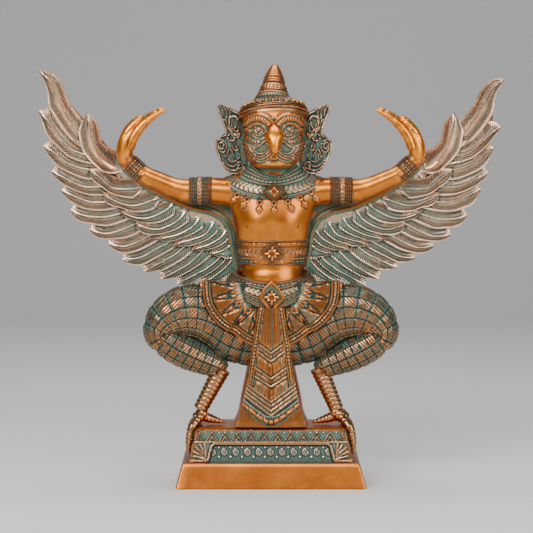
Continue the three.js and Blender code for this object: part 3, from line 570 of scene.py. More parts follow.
    def build(self) -> list[Shell]:
        """All the forms of the wing.

        Returns:
            Feathers, field, backing sheets and rim.
        """
        shifts = LEFT_TIP_SHIFTS if self.side > 0 else ((0, 0),) * len(PRIMARIES)
        long = [self.spine(feather, shift) for feather, shift in zip(PRIMARIES, shifts)]
        short = [self.spine(feather) for feather in COVERTS]
        tapers = [*TAPERS, *[(4.5, 13.0)] * (len(long) - len(TAPERS))]
        forms = [self.blade(long, i, 0, 0.1, self.thickness, taper) for i, taper in enumerate(tapers)]
        forms += [self.blade(short, i, self.covert_lift, 0.04, 1.8, (12, 13), (13, 9.5, 5))
                  for i in range(len(short))]
        forms.append(self.field(short))
        half, most = ([spine[k] for spine in long] for k in (50, 100))
        shares = np.array([-0.04, 0.04, 0.2, 0.45, 0.7, 0.9, 1.0])
        swell = self.thickness - 0.6 + 1.7 * np.sin(np.pi * np.clip(shares, 0, 1)) ** 0.6
        forms += [self.sheet(WING_RIM, half, shares, 0.6, swell),
                  self.sheet(WING_RIM, most, shares, 0.7, 2.0)]
        beside = (*WING_RIM[4:-1], (26, 112), (31, 103))
        return [*forms, self.sheet(beside, WEB, (-0.1, 0.3, 0.7, 1), -0.4, 3.5), *self.rim()]


# Place, half width and half depth of the trunk's stops.
TRUNK = (
    (0, -1, 62, 22, 13), (0, -2, 90, 29.5, 17), (0.5, -2, 102, 24, 15.5), (1, -2.6, 107.5, 22, 16),
    (1, -2.4, 113, 21.3, 15),
    (1, -3, 133, 25.4, 15), (1, -3.5, 147, 27.6, 17), (1, -2.5, 159, 31.5, 16.5), (1, -1.5, 168, 35, 14.5),
    (1, -1, 177, 30, 11.5), (1.5, -1, 184, 15, 10.5), (1.5, -2, 193, 13, 11),
)
# Places of the ring and of the point of each drop.
DROPS = (
    (-32, 172.3, -38.1, 167.9), (-24.4, 165.7, -27.6, 159.6), (-17.2, 162.9, -21.3, 156.3),
    (-8.1, 160.7, -8.6, 152.5), (2.1, 160.2, 2.4, 152.2), (12, 161.3, 15.9, 153.6), (20.8, 164, 25.8, 156.3),
    (28.5, 167.9, 34, 160.7), (36.8, 173.4, 40.7, 169),
)


def clasp(outline: Points, middle: Sequence[float], front: float, back: float) -> list[Shell]:
    """A pointed clasp: a raised frame round a flower of eight petals.

    Args:
        outline: Corners in the front view.
        middle: Its middle.
        front: Depth of its frame's front.
        back: Depth of its back.

    Returns:
        The frame, the flower's petals and its eye.
    """
    corners = np.asarray(outline, float)
    loop = np.vstack([corners, corners[:1]])
    share = np.linspace(0, len(corners), 8 * len(corners) + 1)
    edge = np.column_stack([np.interp(share, range(len(loop)), loop[:, k]) for k in (0, 1)])[:-1]
    scales = np.array([1.0, 0.94, 0.84, 0.78, 0.7, 0.55, 0.3, 0.04])
    rises = np.array([-0.3, 0, 0, -0.3, -1.0, -1.1, -1.1, -1.1])
    centre = np.asarray(middle, float)
    flat = centre + (edge[None] - centre) * scales[:, None, None]
    face = np.stack([flat[..., 0], np.broadcast_to(front - rises[:, None], flat.shape[:2]), flat[..., 1]], -1)
    rear = face[:1] * (1, 0, 1) + (0, back, 0)
    patina = np.append(0.8, np.where(rises < -0.5, 0.85, 0.1))[:, None]
    marks = Work(patina=patina).marks((len(scales) + 1, len(edge)))
    forms = [loft(np.concatenate([rear, face]), marks, Finish.CHASED)]
    reach = 0.42 * np.linalg.norm(corners - centre, axis=1).min()
    for k in range(8):
        heading = np.array((np.sin(k * TAU / 8), np.cos(k * TAU / 8)))
        size = reach * (0.72 if k % 2 else 1.0)
        places = [(*(centre + heading * size * out), wide)
                  for out, wide in ((0.35, 0.5), (0.8, 1.25), (1.25, 1.1), (1.6, 0.2))]
        stops = [(x, front + 0.6, z, wide, 1.1) for x, z, wide in places]
        forms.append(tube(spline(stops, 6), ring(8), even(0.15), Finish.CHASED))
    eye = ((1.4, 1.9), (-0.3, 1.9), (-0.9, 1.5), (-0.2, 1.0), (-0.7, 0.5))
    return [*forms, dome((centre[0], front, centre[1]), eye)]


def dome(place: Sequence[float], profile: Points, sides: int = 10, patina: float = 0.15) -> Shell:
    """A small round boss that faces forwards.

    Args:
        place: Its middle.
        profile: Depth off the middle and radius of each row, from the back to the front.
        sides: Points round it.
        patina: Its patina.

    Returns:
        The boss.
    """
    x, y, z = place
    table = np.array([(x, y + depth, z, radius) for depth, radius in profile], float)
    turns = np.arange(sides) / sides * TAU
    offset = np.stack([np.cos(turns), np.zeros(sides), np.sin(turns)], -1)
    return loft(table[:, None, :3] + offset * table[:, None, 3:], (0, 0, patina), Finish.CHASED)


@dataclass
class Torso:
    """The bare trunk and the jewellery that it wears."""

    belt_rows: Points = field(default_factory=lambda: (
        (1, -2, 115.4, 24.8, 15.5), (1, -2, 119.6, 23.8, 14.8), (1, -2, 129, 25.0, 15.5),
        (1, -2, 133.4, 26.5, 16.4)))

    def body(self, site: Site) -> Work:
        """Muscles of the chest and belly, and the patina that is left in their shelter.

        Args:
            site: Places on the trunk.

        Returns:
            Its relief and patina.
        """
        x, z = np.abs(site.x - 1), site.z
        facing = np.clip(site.front, 0, 1)
        chest = 1.5 * np.exp(-((x - 12) / 9) ** 2 - ((z - 145) / 9) ** 2)
        furrow = -1.0 * np.exp(-(x / 2.2) ** 2 - ((z - 138) / 8) ** 2)
        belly = 0.8 * np.exp(-(x / 14) ** 2 - ((z - 108) / 7) ** 2)
        flanks, neck = np.clip((0.5 - facing) * 2.2, 0.04, 0.9) * (z > 118), np.clip((z - 176) / 5, 0, 1)
        patina = flanks + 0.04 + 0.9 * neck
        return Work((chest + furrow + belly) * facing, patina=patina)

    def collar(self) -> list[Shell]:
        """The broad collar with its rows of beads, centre jewel and hanging drops.

        Returns:
            The cape of beads, the jewel and the drops.
        """
        moulding = Moulding(rows_of("rbrcrbrbr", 0.75), 44, 0.95)
        turns = ring(4 * moulding.beads)
        middle_x, tilt, squash = 1.6, 0.36, 0.52
        profile = np.array([(35.8, -8.3), (35.2, -6.0), (30, -2.2), (24, 1.6), (19, 4.8), (15.5, 7.6)])
        share = moulding.shares * (len(profile) - 1)
        radius, height = (np.interp(share, range(len(profile)), profile[:, k]) for k in (0, 1))
        rows = np.column_stack([np.full_like(radius, middle_x), -3.5 - height * np.sin(tilt),
                                176.5 + height * np.cos(tilt), radius, squash * radius])
        cape = tube(rows, turns, moulding.work, Finish.CHASED)
        off = np.abs(cape.points[:, 0] - middle_x)
        out, away = np.clip(off / 36, 0, 1), np.minimum(off / 15, 1)
        inner = np.append(np.repeat(moulding.shares, len(turns)), (0, 1)) ** 3
        cape.points[:, 2] += 6.5 * out**3 + 5 * inner * away**2
        jewel = clasp(((2.1, 174.4), (11, 169), (2.1, 161.8), (-6.8, 169)), (2.1, 168.6), -23.6, -12)
        return [cape, *jewel, *(form for drop in DROPS for form in self.drop(*drop))]

    def drop(self, x: float, z: float, tip_x: float, tip_z: float) -> list[Shell]:
        """A hanging drop: a ring with a pointed leaf under it.

        Args:
            x: Place of the ring across.
            z: Its height.
            tip_x: Place of the leaf's point across.
            tip_z: Its height.

        Returns:
            The leaf and the ring.
        """
        def place(share: float, wide: float, deep: float) -> tuple[float, ...]:
            """A stop of the leaf."""
            at_x, at_z = x + (tip_x - x) * share, z + (tip_z - z) * share
            return (at_x, front_of(TRUNK, at_x, at_z) - 0.5, at_z, wide, deep)

        leaf = [place(0.15, 0.9, 1.4), place(0.38, 1.6, 1.9), place(0.55, 3.1, 2.2), place(0.78, 2.3, 1.9),
                place(1.08, 0.3, 0.9)]
        eye = ((2.4, 2.4), (-1.4, 2.4), (-2.1, 1.9), (-1.9, 1.2), (-1.1, 0.9), (-1.0, 0.2))
        pointed = tube(spline(leaf, 12), ring(10), even(0.2), Finish.CHASED)
        return [pointed, dome((x, front_of(TRUNK, x, z), z), eye, 14, 0.2)]

    def belt(self) -> list[Shell]:
        """The belt under the chest, ribbed above and below a row of chevrons.

        Returns:
            The belt and its clasp.
        """
        pattern = rows_of("rbrfcfrbr", 0.8)
        band = Moulding(pattern, 40, 0.72).round(self.belt_rows)
        outline = ((0.8, 115.2), (9.6, 124.2), (0.8, 133.4), (-8, 124.2))
        return [band, *clasp(outline, (0.8, 124.2), -19.8, -10)]

    def girdle(self) -> list[Shell]:
        """The pointed girdle with its clasp.

        Returns:
            The girdle and its clasp.
        """
        pattern = rows_of("rrbrcrbr", 0.8)
        shares = np.array([row[0] for row in pattern])
        beads = 52
        turns = ring(4 * beads)
        front = ((1 + np.cos(turns)) / 2)[None]
        lower, upper = 100 - 15.5 * front**6, 110.6 - 6.6 * front**3
        share = shares[:, None]
        rows = np.column_stack([np.zeros((len(shares), 2)), shares * 10, np.full((len(shares), 2), 20.0)])
        band = tube(rows, turns, Moulding(pattern, beads, 0.82).work, Finish.CHASED)
        swell = (1 + 0.035 * np.sin(np.pi * share)) * (1 - 0.17 * share)
        rise, wave, phase = (np.array([row[k] for row in pattern])[:, None] for k in (1, 2, 3))
        lift = rise + wave * bead(turns[None] * beads / TAU + phase)
        grid = np.stack([(33 * swell + lift) * np.sin(turns), -2 - (21.2 * swell + lift) * np.cos(turns),
                         np.broadcast_to(lower + (upper - lower) * share, lift.shape)], -1)
        band.points[:grid.shape[0] * grid.shape[1]] = grid.reshape(-1, 3)
        band.points[-2:] = (0, -2, grid[0, ..., 2].mean()), (0, -2, grid[-1, ..., 2].mean())
        outline = ((0.4, 82), (9.8, 93), (5.6, 100.5), (0.4, 105.2), (-4.8, 100.5), (-9, 93))
        return [band, *clasp(outline, (0.4, 93.5), -24.4, -12)]

    def build(self) -> list[Shell]:
        """All the forms of the trunk.

        Returns:
            The trunk and what it wears.
        """
        trunk = tube(spline(TRUNK, 60), ring(60, 0.3), self.body)
        profile = ((2.0, 1.5), (0.1, 1.4), (-0.4, 1.0), (0.1, 0.7), (0.4, 0.2))
        z = 143.6
        dots = [dome((x, front_of(TRUNK, x, z) - 0.9, z), profile, 12, 1.3) for x in (-16.6, 18.6)]
        return [trunk, *dots, *self.collar(), *self.belt(), *self.girdle()]


# Place of the face's middle across.
FACE_X = 2.0
HEAD = (
    (2, -6.4, 180, 10.5, 8), (2, -6.4, 184.3, 11.2, 11), (2, -6.4, 185.3, 12.8, 15),
    (2, -6.4, 186.8, 15.2, 17.8), (2, -6.4, 190, 17.8, 19.2), (2, -6.4, 195, 19.5, 19.8),
    (2, -6.4, 202, 21.2, 19.8), (2, -6.2, 212, 22, 19.6), (2, -5.4, 220, 21.9, 19.4), (2, -4, 228, 19.5, 17),
)


@dataclass(frozen=True)
class Fold:
    """A ridge of the face or ear, with a groove along each side and strokes across it."""

    line: Points
    width: float
    rise: float
    strokes: float = 0.0
    groove: float = 0.4


# Folds of half the face, counted outwards from its middle.
FACE_FOLDS = (
    Fold(((20.5, 215.2), (18, 217.7), (15.1, 219.4), (11.5, 220.2), (8.6, 219.9), (5.8, 218.5),
          (3.5, 216.3)), 1.75, 1.3, 1),
    Fold(((17.6, 221.9), (13.7, 223.2), (9.4, 223.4), (5.4, 222.2), (2.5, 220.1), (0.7, 217.3)),
          0.7, 0.6),
    Fold(((19.6, 212.9), (16.8, 214.1), (14, 216.1), (10.9, 216.8), (8.5, 216), (6.6, 213.7),
          (5.3, 211.3)), 0.85, 1.2),
    Fold(((19.4, 212.3), (15.5, 212.1)), 0.7, 0.9),
    Fold(((16.9, 211.9), (15, 210.6), (12.8, 209), (10.2, 208.5), (7.9, 209.2), (6, 210.9)),
          0.6, 0.9),
    Fold(((15.1, 208.3), (12.2, 206.6), (9, 206), (5.9, 207.2)), 0.8, 0.6),
    Fold(((19.2, 207.3), (16.8, 205.8), (14, 204.5), (10.8, 204.1)), 1.5, 0.6, 1),
    Fold(((5.2, 205.2), (7.5, 203.4), (10.1, 201.4), (12.5, 199.9), (15.1, 200.9), (18, 202.2),
          (20.9, 202.9)), 0.75, 1.2),
    Fold(((13.4, 200.2), (13, 198.2), (11.2, 196.4), (9.4, 195.7), (6.9, 196.3), (4.9, 197.8),
          (3.6, 199.9)), 0.6, 1),
    Fold(((16.7, 201.2), (15.6, 198.7), (14.1, 196.1), (12.1, 194.1), (9.6, 193.6), (6.8, 194.1),
          (4.3, 196), (2.7, 198.2)), 0.6, 0.8),
    Fold(((12.5, 192.3), (9.8, 191.7), (6.6, 192.3), (3.7, 194.3), (2.2, 196.4)), 0.55, 0.6),
    Fold(((13.7, 191.2), (11.2, 190.2), (8.6, 189.7), (6.2, 190.3), (4, 191.7), (1.9, 193.8)),
          0.6, 0.8),
    Fold(((19.6, 201.6), (18.1, 198.5), (16.1, 195.4), (13.2, 192.4)), 1.35, 0.5, 1),
    Fold(((2.4, 192.6), (1, 191.7), (0, 192.7)), 0.7, 0.8),
)


def fold_relief(x: Array, z: Array, folds: Sequence[Fold]) -> Work:
    """Relief and strokes that folds leave on a surface.

    Args:
        x: Places across, counted from the middle.
        z: Places up.
        folds: The folds.

    Returns:
        Their relief, with patina in the ground between them.
    """
    lift, stroke, depth = np.zeros(x.shape), np.zeros(x.shape), np.zeros(x.shape)
    for fold in folds:
        away, run = trace(x, z, spline(fold.line, 4 * len(fold.line)))
        ridge = hump(away / fold.width)
        lift = np.maximum(lift, fold.rise * ridge) - fold.groove * hump((away - fold.width - 0.45) / 0.5)
        near = ridge > 0.2
        lift = lift + fold.strokes * near * 0.5 * (bead(run / STROKE) - 0.75)
        stroke = np.where(near, run, stroke)
        depth = np.where(near, fold.strokes, depth)
    return Work(lift, stroke, depth)


@dataclass
class Head:
    """The beaked head with its folded cheeks and round eyes."""

    eye: tuple[float, float] = (11.1, 212.9)
    rise: float = 1.2

    def skin(self, site: Site) -> Work:
        """Brows, lids, eyes and cheek folds on the front of the head.

        Args:
            site: Places on the head.

        Returns:
            Its relief, strokes and patina.
        """
        x, z = np.abs(site.x - FACE_X), site.z
        done = fold_relief(x, z, FACE_FOLDS)
        facing = np.clip((site.front - 0.05) * 4, 0, 1)
        across, up = x - self.eye[0], z - self.eye[1]
        socket = 1.1 * np.clip(2.2 - 2 * np.hypot(across / 5.6, up / 3.6) ** 2, 0, 1)
        away = np.hypot(across, up)
        eye = 0.6 * hump((away - 2.9) / 0.6) + 1.7 * hump(away / 1.75)
        cheek = 1.1 * np.clip(2.4 - 2.4 * np.hypot((x - 8) / 4.8, (z - 199.6) / 3.9) ** 2, 0, 1)
        swell = 1.2 * hump(np.hypot((x - 13) / 11, (z - 198) / 9))
        swell = swell + 0.9 * hump(np.hypot((x - 11) / 11, (z - 219) / 6))
        valley = -1.2 * hump(np.hypot(x / 2.6, (z - 216.6) / 4.5))
        mouth = -0.8 * hump(np.hypot(x / 5, (z - 190.8) / 1.3)) + 0.7 * hump(np.hypot(x / 9, (z - 188) / 2))
        ground = np.clip(1.5 - 1.5 * np.hypot((x - 9.5) / 9, (z - 203) / 16.5) ** 4, 0, 1)
        lift = (self.rise * done.lift - socket + eye - cheek + swell + valley + mouth) * facing
        patina = np.where(site.front < 0.1, 0.6, 0.38 + 0.44 * ground)
        return Work(lift, done.stroke, done.depth * facing, patina)

    def beak(self) -> Shell:
        """The smooth hooked beak, widest a third of the way down.

        Returns:
            The beak.
        """
        stops = ((2.1, -23, 216.4, 0.5, 1.4), (2.1, -25.4, 213.8, 2.9, 3.2), (2.3, -27.6, 210.6, 5.9, 4.6),
                 (2.4, -29, 207.6, 7, 5.4), (2.5, -30.2, 204.2, 5.4, 5.6), (2.7, -31.2, 200.2, 3.9, 5.2),
                 (2.8, -31.6, 197.4, 2.7, 4.2), (2.9, -31.4, 195, 0.7, 1.6))
        return tube(spline(stops, 34), ring(28), even(0.15))

    def build(self) -> list[Shell]:
        """The head and its beak.

        Returns:
            Both forms.
        """
        spans = ((0, 0.1, 6), (0.11, 0.9, 104), (0.92, 1, 5))
        levels = np.concatenate([np.linspace(*span) for span in spans])
        head = tube(spline(HEAD, levels), ring(150, 0.55), self.skin, square=0.88)
        return [head, self.beak()]


# Height and radius of the crown's outline.
CROWN = (
    (0.2, 22), (0.9, 24), (1.5, 24.9), (2.6, 24.9), (3.1, 23.3), (3.4, 23.3), (4.2, 24.2), (5.2, 24),
    (5.5, 23.1), (6, 24.7), (6.6, 24.6), (6.95, 23.2), (7.3, 24.5), (7.9, 24.2), (8.3, 22.7),
    (9.3, 22.9), (10.4, 21.7), (11.5, 19.9), (12.6, 17.7), (13.6, 15.9), (14.6, 14), (15.4, 12.8),
    (16.6, 12.1), (17.8, 11.6), (18.2, 11), (18.9, 11.1), (19.6, 10.8), (20.2, 10.2), (20.6, 10.1),
    (20.9, 10.6), (21.5, 10.4), (22, 9.7), (22.5, 9.6), (24.2, 9), (25.6, 8.5), (26.2, 8), (26.9, 7.9),
    (27.4, 8.4), (28.1, 8.2), (28.6, 7.5), (29, 8), (29.9, 7.7), (30.3, 7.1), (30.6, 7.5), (31.1, 7.4),
    (31.4, 6.8), (31.8, 7.1), (32.5, 6.8), (32.9, 6.5), (34.3, 5.9), (36.2, 5), (38.1, 4), (39.6, 3.1),
    (40.6, 2.5), (41.1, 1.7), (41.3, 0.2),
)


@dataclass
class Crown:
    """A spired crown: a roped headband, a row of flames with pearls and a ringed cone."""

    tilt: float = 0.28
    squash: float = 0.86
    ropes: int = 84
    flames: int = 30

    def work(self, site: Site, height: Array) -> Work:
        """Ropes, flames and beads, which fade at the back, with the patina low at the bare tip.

        Args:
            site: Places on the crown.
            height: Height of each ring.

        Returns:
            Its relief and patina.
        """
        turn, high = site.turn / TAU, height[site.row]
        shown = np.clip(site.front * 1.6 + 0.7, 0, 1)
        rope = 0.95 * hump((high - 4.3) / 1.1) * bead(turn * self.ropes + 0.3 * (high - 4.3))
        across = ((turn * self.flames) % 1 - 0.5) * 4.4
        flame = 1.2 * hump((np.hypot(across, (high - 11) * 0.9) - 1.9) / 0.6) * (high > 10.6)
        flame += 1.0 * hump((np.abs(across) - 1.9) / 0.6) * (high > 8.5) * (high <= 10.6)
        pearl = 1.5 * hump(np.hypot(across, (high - 10.6)) / 1.1)
        frill = 0.5 * hump((high - 16.4) / 1.5) * bead(turn * 34 + 0.25 * high)
        beads = 0.5 * hump((high - 19) / 0.9) * bead(turn * 34)
        beads = beads + 0.5 * hump((high - 24.1) / 1.8) * bead(turn * 20)
        lines = 0.25 * hump(((high - 6.3) % 2.2 - 0.5) / 0.4) * (high > 22.6) * (high < 26)
        lift = (rope + np.maximum(flame, pearl) + frill + beads + lines) * shown
        shade = np.interp(high, (0, 8, 12, 20, 28, 32.4, 34), (0.55, 0.6, 0.8, 0.65, 0.5, 0.4, 0.0))
        patina = shade * (0.55 + 0.45 * np.clip(site.front, 0, 1) ** 2) + 0.3 * (site.front < -0.2)
        return Work(lift, patina=patina)

    def build(self) -> list[Shell]:
        """The crown.

        Returns:
            The crown as one form.
        """
        table = np.array(CROWN)
        between = (3.8, 4.7, 16, 17.2, 23, 23.6, 24.9)
        fine = np.sort(np.concatenate([table[:, 0], np.arange(8.7, 15, 0.5), between]))
        height = np.append(fine[:-1][np.diff(fine) > 0.12], fine[-1])
        radius = np.interp(height, table[:, 0], table[:, 1])
        lean = np.interp(height, (0, 15, 41.3), (0, -0.6, 0.9))
        path = np.column_stack([FACE_X + lean, -3.5 + height * np.sin(self.tilt),
                                219 + height * np.cos(self.tilt), radius, self.squash * radius])
        return [tube(path, ring(300, 0.5), lambda site: self.work(site, height), Finish.CHASED)]


def loop(x: float, z: float, wide: float, high: float, turns: float = 1.0, end: float = 1.0) -> Points:
    """Points of an oval, or of a spiral that shrinks to a share of it.

    Args:
        x: Its middle across.
        z: Height of its middle.
        wide: Half its width at the start.
        high: Half its height at the start.
        turns: How many times it goes round.
        end: Share of its size that is left at its end.

    Returns:
        The points.
    """
    angle = np.linspace(0, TAU * turns, int(14 * turns) + 1)
    size = np.linspace(1, end, len(angle))
    return np.column_stack([x + wide * size * np.sin(angle), z + high * size * np.cos(angle)])


# Both edges of an ear ornament, upwards, and the scrolls that are cut in it.
EAR_OUTER = (
    (24.5, 179.3), (30.2, 179.6), (34.6, 182.5), (36.7, 186.1), (38.2, 189.3), (39.9, 192.6),
    (41.2, 195.8), (41.9, 199.4), (41.8, 203.7), (40.9, 205.4), (38.5, 206.6), (36, 207.7),
    (34.7, 209.2), (35.3, 210.9), (35.7, 213.4), (36.7, 216.7), (37.6, 219.2), (39.3, 222.4),
    (40.3, 226), (40.6, 228.2), (39.6, 230.3),
)
EAR_INNER = (
    (20.2, 179.3), (17.3, 190.8), (19.4, 205.2), (22, 219.5), (23.4, 223.9), (24.8, 225),
    (27.4, 225.7), (30, 226.6), (31, 228), (33.8, 229.2), (36.7, 229.9), (38.5, 230.3),
)
EAR_FOLDS = (
    Fold(((25.5, 219.1), (26.6, 221.1), (28.8, 221.9), (31, 221.4), (32, 219.8), (32.1, 217.7),
          (31.8, 215.2), (30.8, 212.4), (29.4, 209.8), (27.5, 207.2), (25.6, 206.6), (24.2, 207.9),
          (24, 210.2)), 0.85, 1.2),
    Fold(((28.4, 219.8), (29.8, 218.1), (30.1, 215.2), (29.1, 212.4), (27.1, 210.6), (25.3, 211.9),
          (25.6, 214.9), (26.5, 217.7), (27.1, 214.8), (28.1, 213.1)), 0.55, 0.9),
    Fold(((27.4, 209), (25.9, 207.9), (24.9, 209)), 1, 0.9),
    Fold(((39.7, 227.5), (39.3, 224.9), (38.2, 221.7), (36.4, 219.3), (34.6, 219.3), (33.4, 221)),
          0.6, 0.9),
    Fold(((38.4, 229.2), (37.2, 227.5), (36.3, 225.3), (36.3, 222.4)), 0.55, 0.8),
    Fold(((36.4, 229.2), (34.6, 227), (33.7, 224.6), (34.1, 221.4)), 0.55, 0.8),
    Fold(((33.7, 228.5), (32, 226.3), (31.2, 223.9), (31.8, 222.1)), 0.55, 0.8),
    Fold(((31, 227.2), (29.1, 225.3), (26.8, 224.3), (24.5, 222.9)), 0.55, 0.8),
    Fold(((36.9, 217.7), (35.3, 215.5), (34.1, 212.4), (32.8, 210.2)), 0.55, 0.8),
    Fold(((34.3, 218.4), (33.3, 214.9), (31.8, 211.5), (30, 208.3), (27.8, 205.4)), 0.55, 0.9),
    Fold(((31.5, 209), (33, 207.6), (32.8, 205.4), (31, 204.2), (28.8, 204.7), (27.9, 206.2)),
          0.6, 1),
    Fold(((38.9, 194.1), (40.8, 197.2), (41.2, 201.6), (40.5, 204.4), (38.4, 205.3), (36, 204),
          (34, 201.6), (34.3, 198.3), (36.1, 196), (38.4, 196.8), (39.7, 199.4), (39.2, 202.3),
          (37.3, 203.1), (35.9, 201.3), (36.4, 199), (38.2, 198.7), (38.4, 200.6)), 0.6, 1.1),
    Fold(((34, 192.5), (33.1, 195.8), (31.5, 198.5), (29.8, 196.4), (28.4, 192.9)), 0.65, 1.1),
    Fold(((32.1, 194.8), (32, 192.2)), 0.6, 0.8),
    Fold(((27.2, 203), (29.2, 201.3), (28.9, 198.8), (27.4, 197.2), (25.3, 198.7), (24.5, 200.6)),
          0.6, 1),
    Fold(((27.2, 201), (26.9, 199.7)), 0.8, 0.9),
    Fold(((32.7, 191.1), (30.2, 189.3), (27.4, 189.9), (24.9, 192.2), (24.2, 195.1)), 0.55, 0.8),
    Fold(((36.9, 191.9), (34.8, 188.6), (32, 186.5), (28.8, 186), (26.2, 187.5)), 0.55, 0.8),
    Fold(((36.3, 188.2), (34.6, 185.6), (31.7, 183.6), (28.4, 183), (25.9, 184)), 0.55, 0.8),
    Fold(((25.8, 188.6), (23.6, 189), (22.3, 187.2), (22.8, 184.7), (24.9, 184.3), (25.8, 186),
          (24.5, 186.9)), 0.6, 1),
    Fold(((33.6, 182.6), (30.2, 181), (26.2, 181), (22.6, 182.9), (20.6, 185.7)), 0.6, 0.9),
    Fold(((23, 203.7), (21.9, 199.4), (20.9, 194.4), (20.2, 190.1)), 0.5, 0.6),
)


@dataclass
class Ear:
    """A flame-shaped ear ornament, cut with scrolls, round a long ear."""

    side: int

    def build(self) -> list[Shell]:
        """The ornament, set a little into the head.

        Returns:
            The ornament as one form.
        """
        z = np.linspace(179.4, 230.3, 118)[:, None]
        outer, inner = (np.array(line, float) for line in (EAR_OUTER, EAR_INNER))
        right, left = (np.interp(z, line[:, 1], line[:, 0]) for line in (outer, inner))
        x = left + (right - left) * np.linspace(0, 1, 56)[None]
        z = np.broadcast_to(z, x.shape)
        done = fold_relief(x, z, EAR_FOLDS)
        edge = np.minimum(right - x, np.where(z > 225.6, x - left, 9))
        rim = 0.9 * hump((edge - 0.8) / 0.7) - 0.35 * hump((edge - 1.9) / 0.5)
        rim = rim - 0.7 * np.clip(1 - edge / 0.4, 0, 1)
        curl = 1.4 * np.cos((x - 29) / 7) - 0.9 * hump((z - 208.2) / 3.5) * (x > 31)
        ear_bed = 1.0 * hump(np.hypot((x - 27.8) / 4.5, (z - 214.4) / 8))
        work = Work(1.15 * np.maximum(done.lift, rim) + curl + ear_bed, patina=0.85)
        return [plate(FACE_X + self.side * x, z, 4.2 - 0.6 * curl, work, -0.6, 7, Finish.LEAF)]


ARM = (
    (26, -1, 166.5, 10.5, 10), (42, -2, 168.3, 9.6, 9.4), (58, -3, 168.2, 8.8, 8.6),
    (69, -3.5, 170.6, 7.3, 7.4), (80, -3.5, 175.2, 6.7, 7), (90, -3, 179.8, 6.2, 6.6),
    (98, -2.5, 185.4, 5.8, 6.2), (103.4, -2, 191.4, 5.4, 5.6),
)
PALM = (
    (104, -2.2, 189, 4.8, 5.2), (104.8, -2, 194, 5.8, 6.4), (104.4, -2, 199.6, 6.3, 6.8),
    (102.4, -2, 205, 6.2, 6.9), (99.2, -2, 210.6, 5.2, 6.4), (95.6, -2, 215, 3.4, 4.6),
)
# Place across, height and radius along the long fingers and along the thumbs.
STRANDS = (
    ((101, 199, 3.6), (98.6, 206, 3.8), (94.8, 212, 3.7), (90.2, 217, 3.3), (85.4, 220.8, 2.6),
     (80.8, 223.7, 1.9), (77.2, 225.5, 1.2), (75.4, 226, 0.5)),
    ((106.2, 196.6, 3), (105.8, 203.6, 3.4), (102.6, 210.2, 3.7), (98.2, 215.8, 3.3), (94.6, 219.3, 2.4),
     (92.2, 221.2, 1)),
)
# How far out each finger, and each thumb, lies from its line, and its depth.
OFFSETS = (((0, -6.4), (1.2, -2.4), (2.2, 1.6)), ((0, -4.4), (0.6, 0.2)))


@dataclass
class Arm:
    """A raised arm with an armband, a cuff and a hand whose fingers curl back to the head."""

    side: int

    def limb(self) -> Shell:
        """The bare arm.

        Returns:
            The arm from shoulder to wrist.
        """
        def work(site: Site) -> Work:
            """The arm's skin, with patina under it and at the shoulder.

            Args:
                site: Places on the arm.

            Returns:
                Its patina.
            """
            low = np.clip(-np.sin(site.turn * self.side), 0, 1)
            inner = np.clip((34 - np.abs(site.x)) / 10, 0, 1)
            patina = 0.05 + 0.5 * (low > 0.8) + 0.2 * inner + 0.5 * (site.front < -0.3)
            return Work(patina=np.clip(patina, 0, 0.7))

        return tube(spline(mirrored(ARM, self.side), 48), ring(28), work)

    def bands(self) -> list[Shell]:
        """The armband and the cuff.

        Returns:
            Both bands.
        """
        arm = [(self.side * x, -2.5, 168.4, r, r) for x, r in ((42.3, 9.9), (50.5, 9.6), (58.7, 9.4))]
        armband = Moulding(rows_of("rrbbrcrbbr", 0.75), 22, 0.65).round(arm)
        heading = np.array((self.side * 0.72, 0, 0.69))
        middle = np.array((self.side * 96.3, -2.6, 184.0))
        cuff = [(*(middle + heading * run), r, r) for run, r in ((-7.2, 6.5), (0, 6.5), (7.4, 6.3))]
        return [armband, Moulding(rows_of("rbrbbrbr", 0.75), 14, 0.55).round(cuff)]

    def hand(self) -> list[Shell]:
        """The palm and its long fingers, each with a nail.

        Returns:
            The palm and the fingers.
        """
        def skin(site: Site) -> Work:
            """Bare skin, darker behind."""
            return Work(patina=np.where(site.front < -0.2, 0.4, 0.04))

        def finger(site: Site) -> Work:
            """Skin with creases at the joints and a nail at the end.

            Args:
                site: Places on the finger.

            Returns:
                Its relief and patina.
            """
            share = site.along / site.along.max()
            crease = sum(np.exp(-((share - at) / 0.012) ** 2) for at in (0.42, 0.66, 0.86))
            nail = 0.25 * ((share > 0.88) & (share < 0.97)) * (site.front > 0.2)
            return Work(nail - 0.28 * crease, patina=0.05 + 0.3 * (site.front < -0.2))

        forms = [tube(spline(mirrored(PALM, self.side), 22), ring(24), skin)]
        for strand, offsets in zip(STRANDS, OFFSETS):
            for out, y in offsets:
                stops = [(self.side * (x + out * 0.6), y, z + out * 0.5, r, r * 1.05) for x, z, r in strand]
                forms.append(tube(spline(stops, 56), ring(14), finger))
        return forms

    def build(self) -> list[Shell]:
        """All the forms of the arm."""
        return [self.limb(), *self.bands(), *self.hand()]


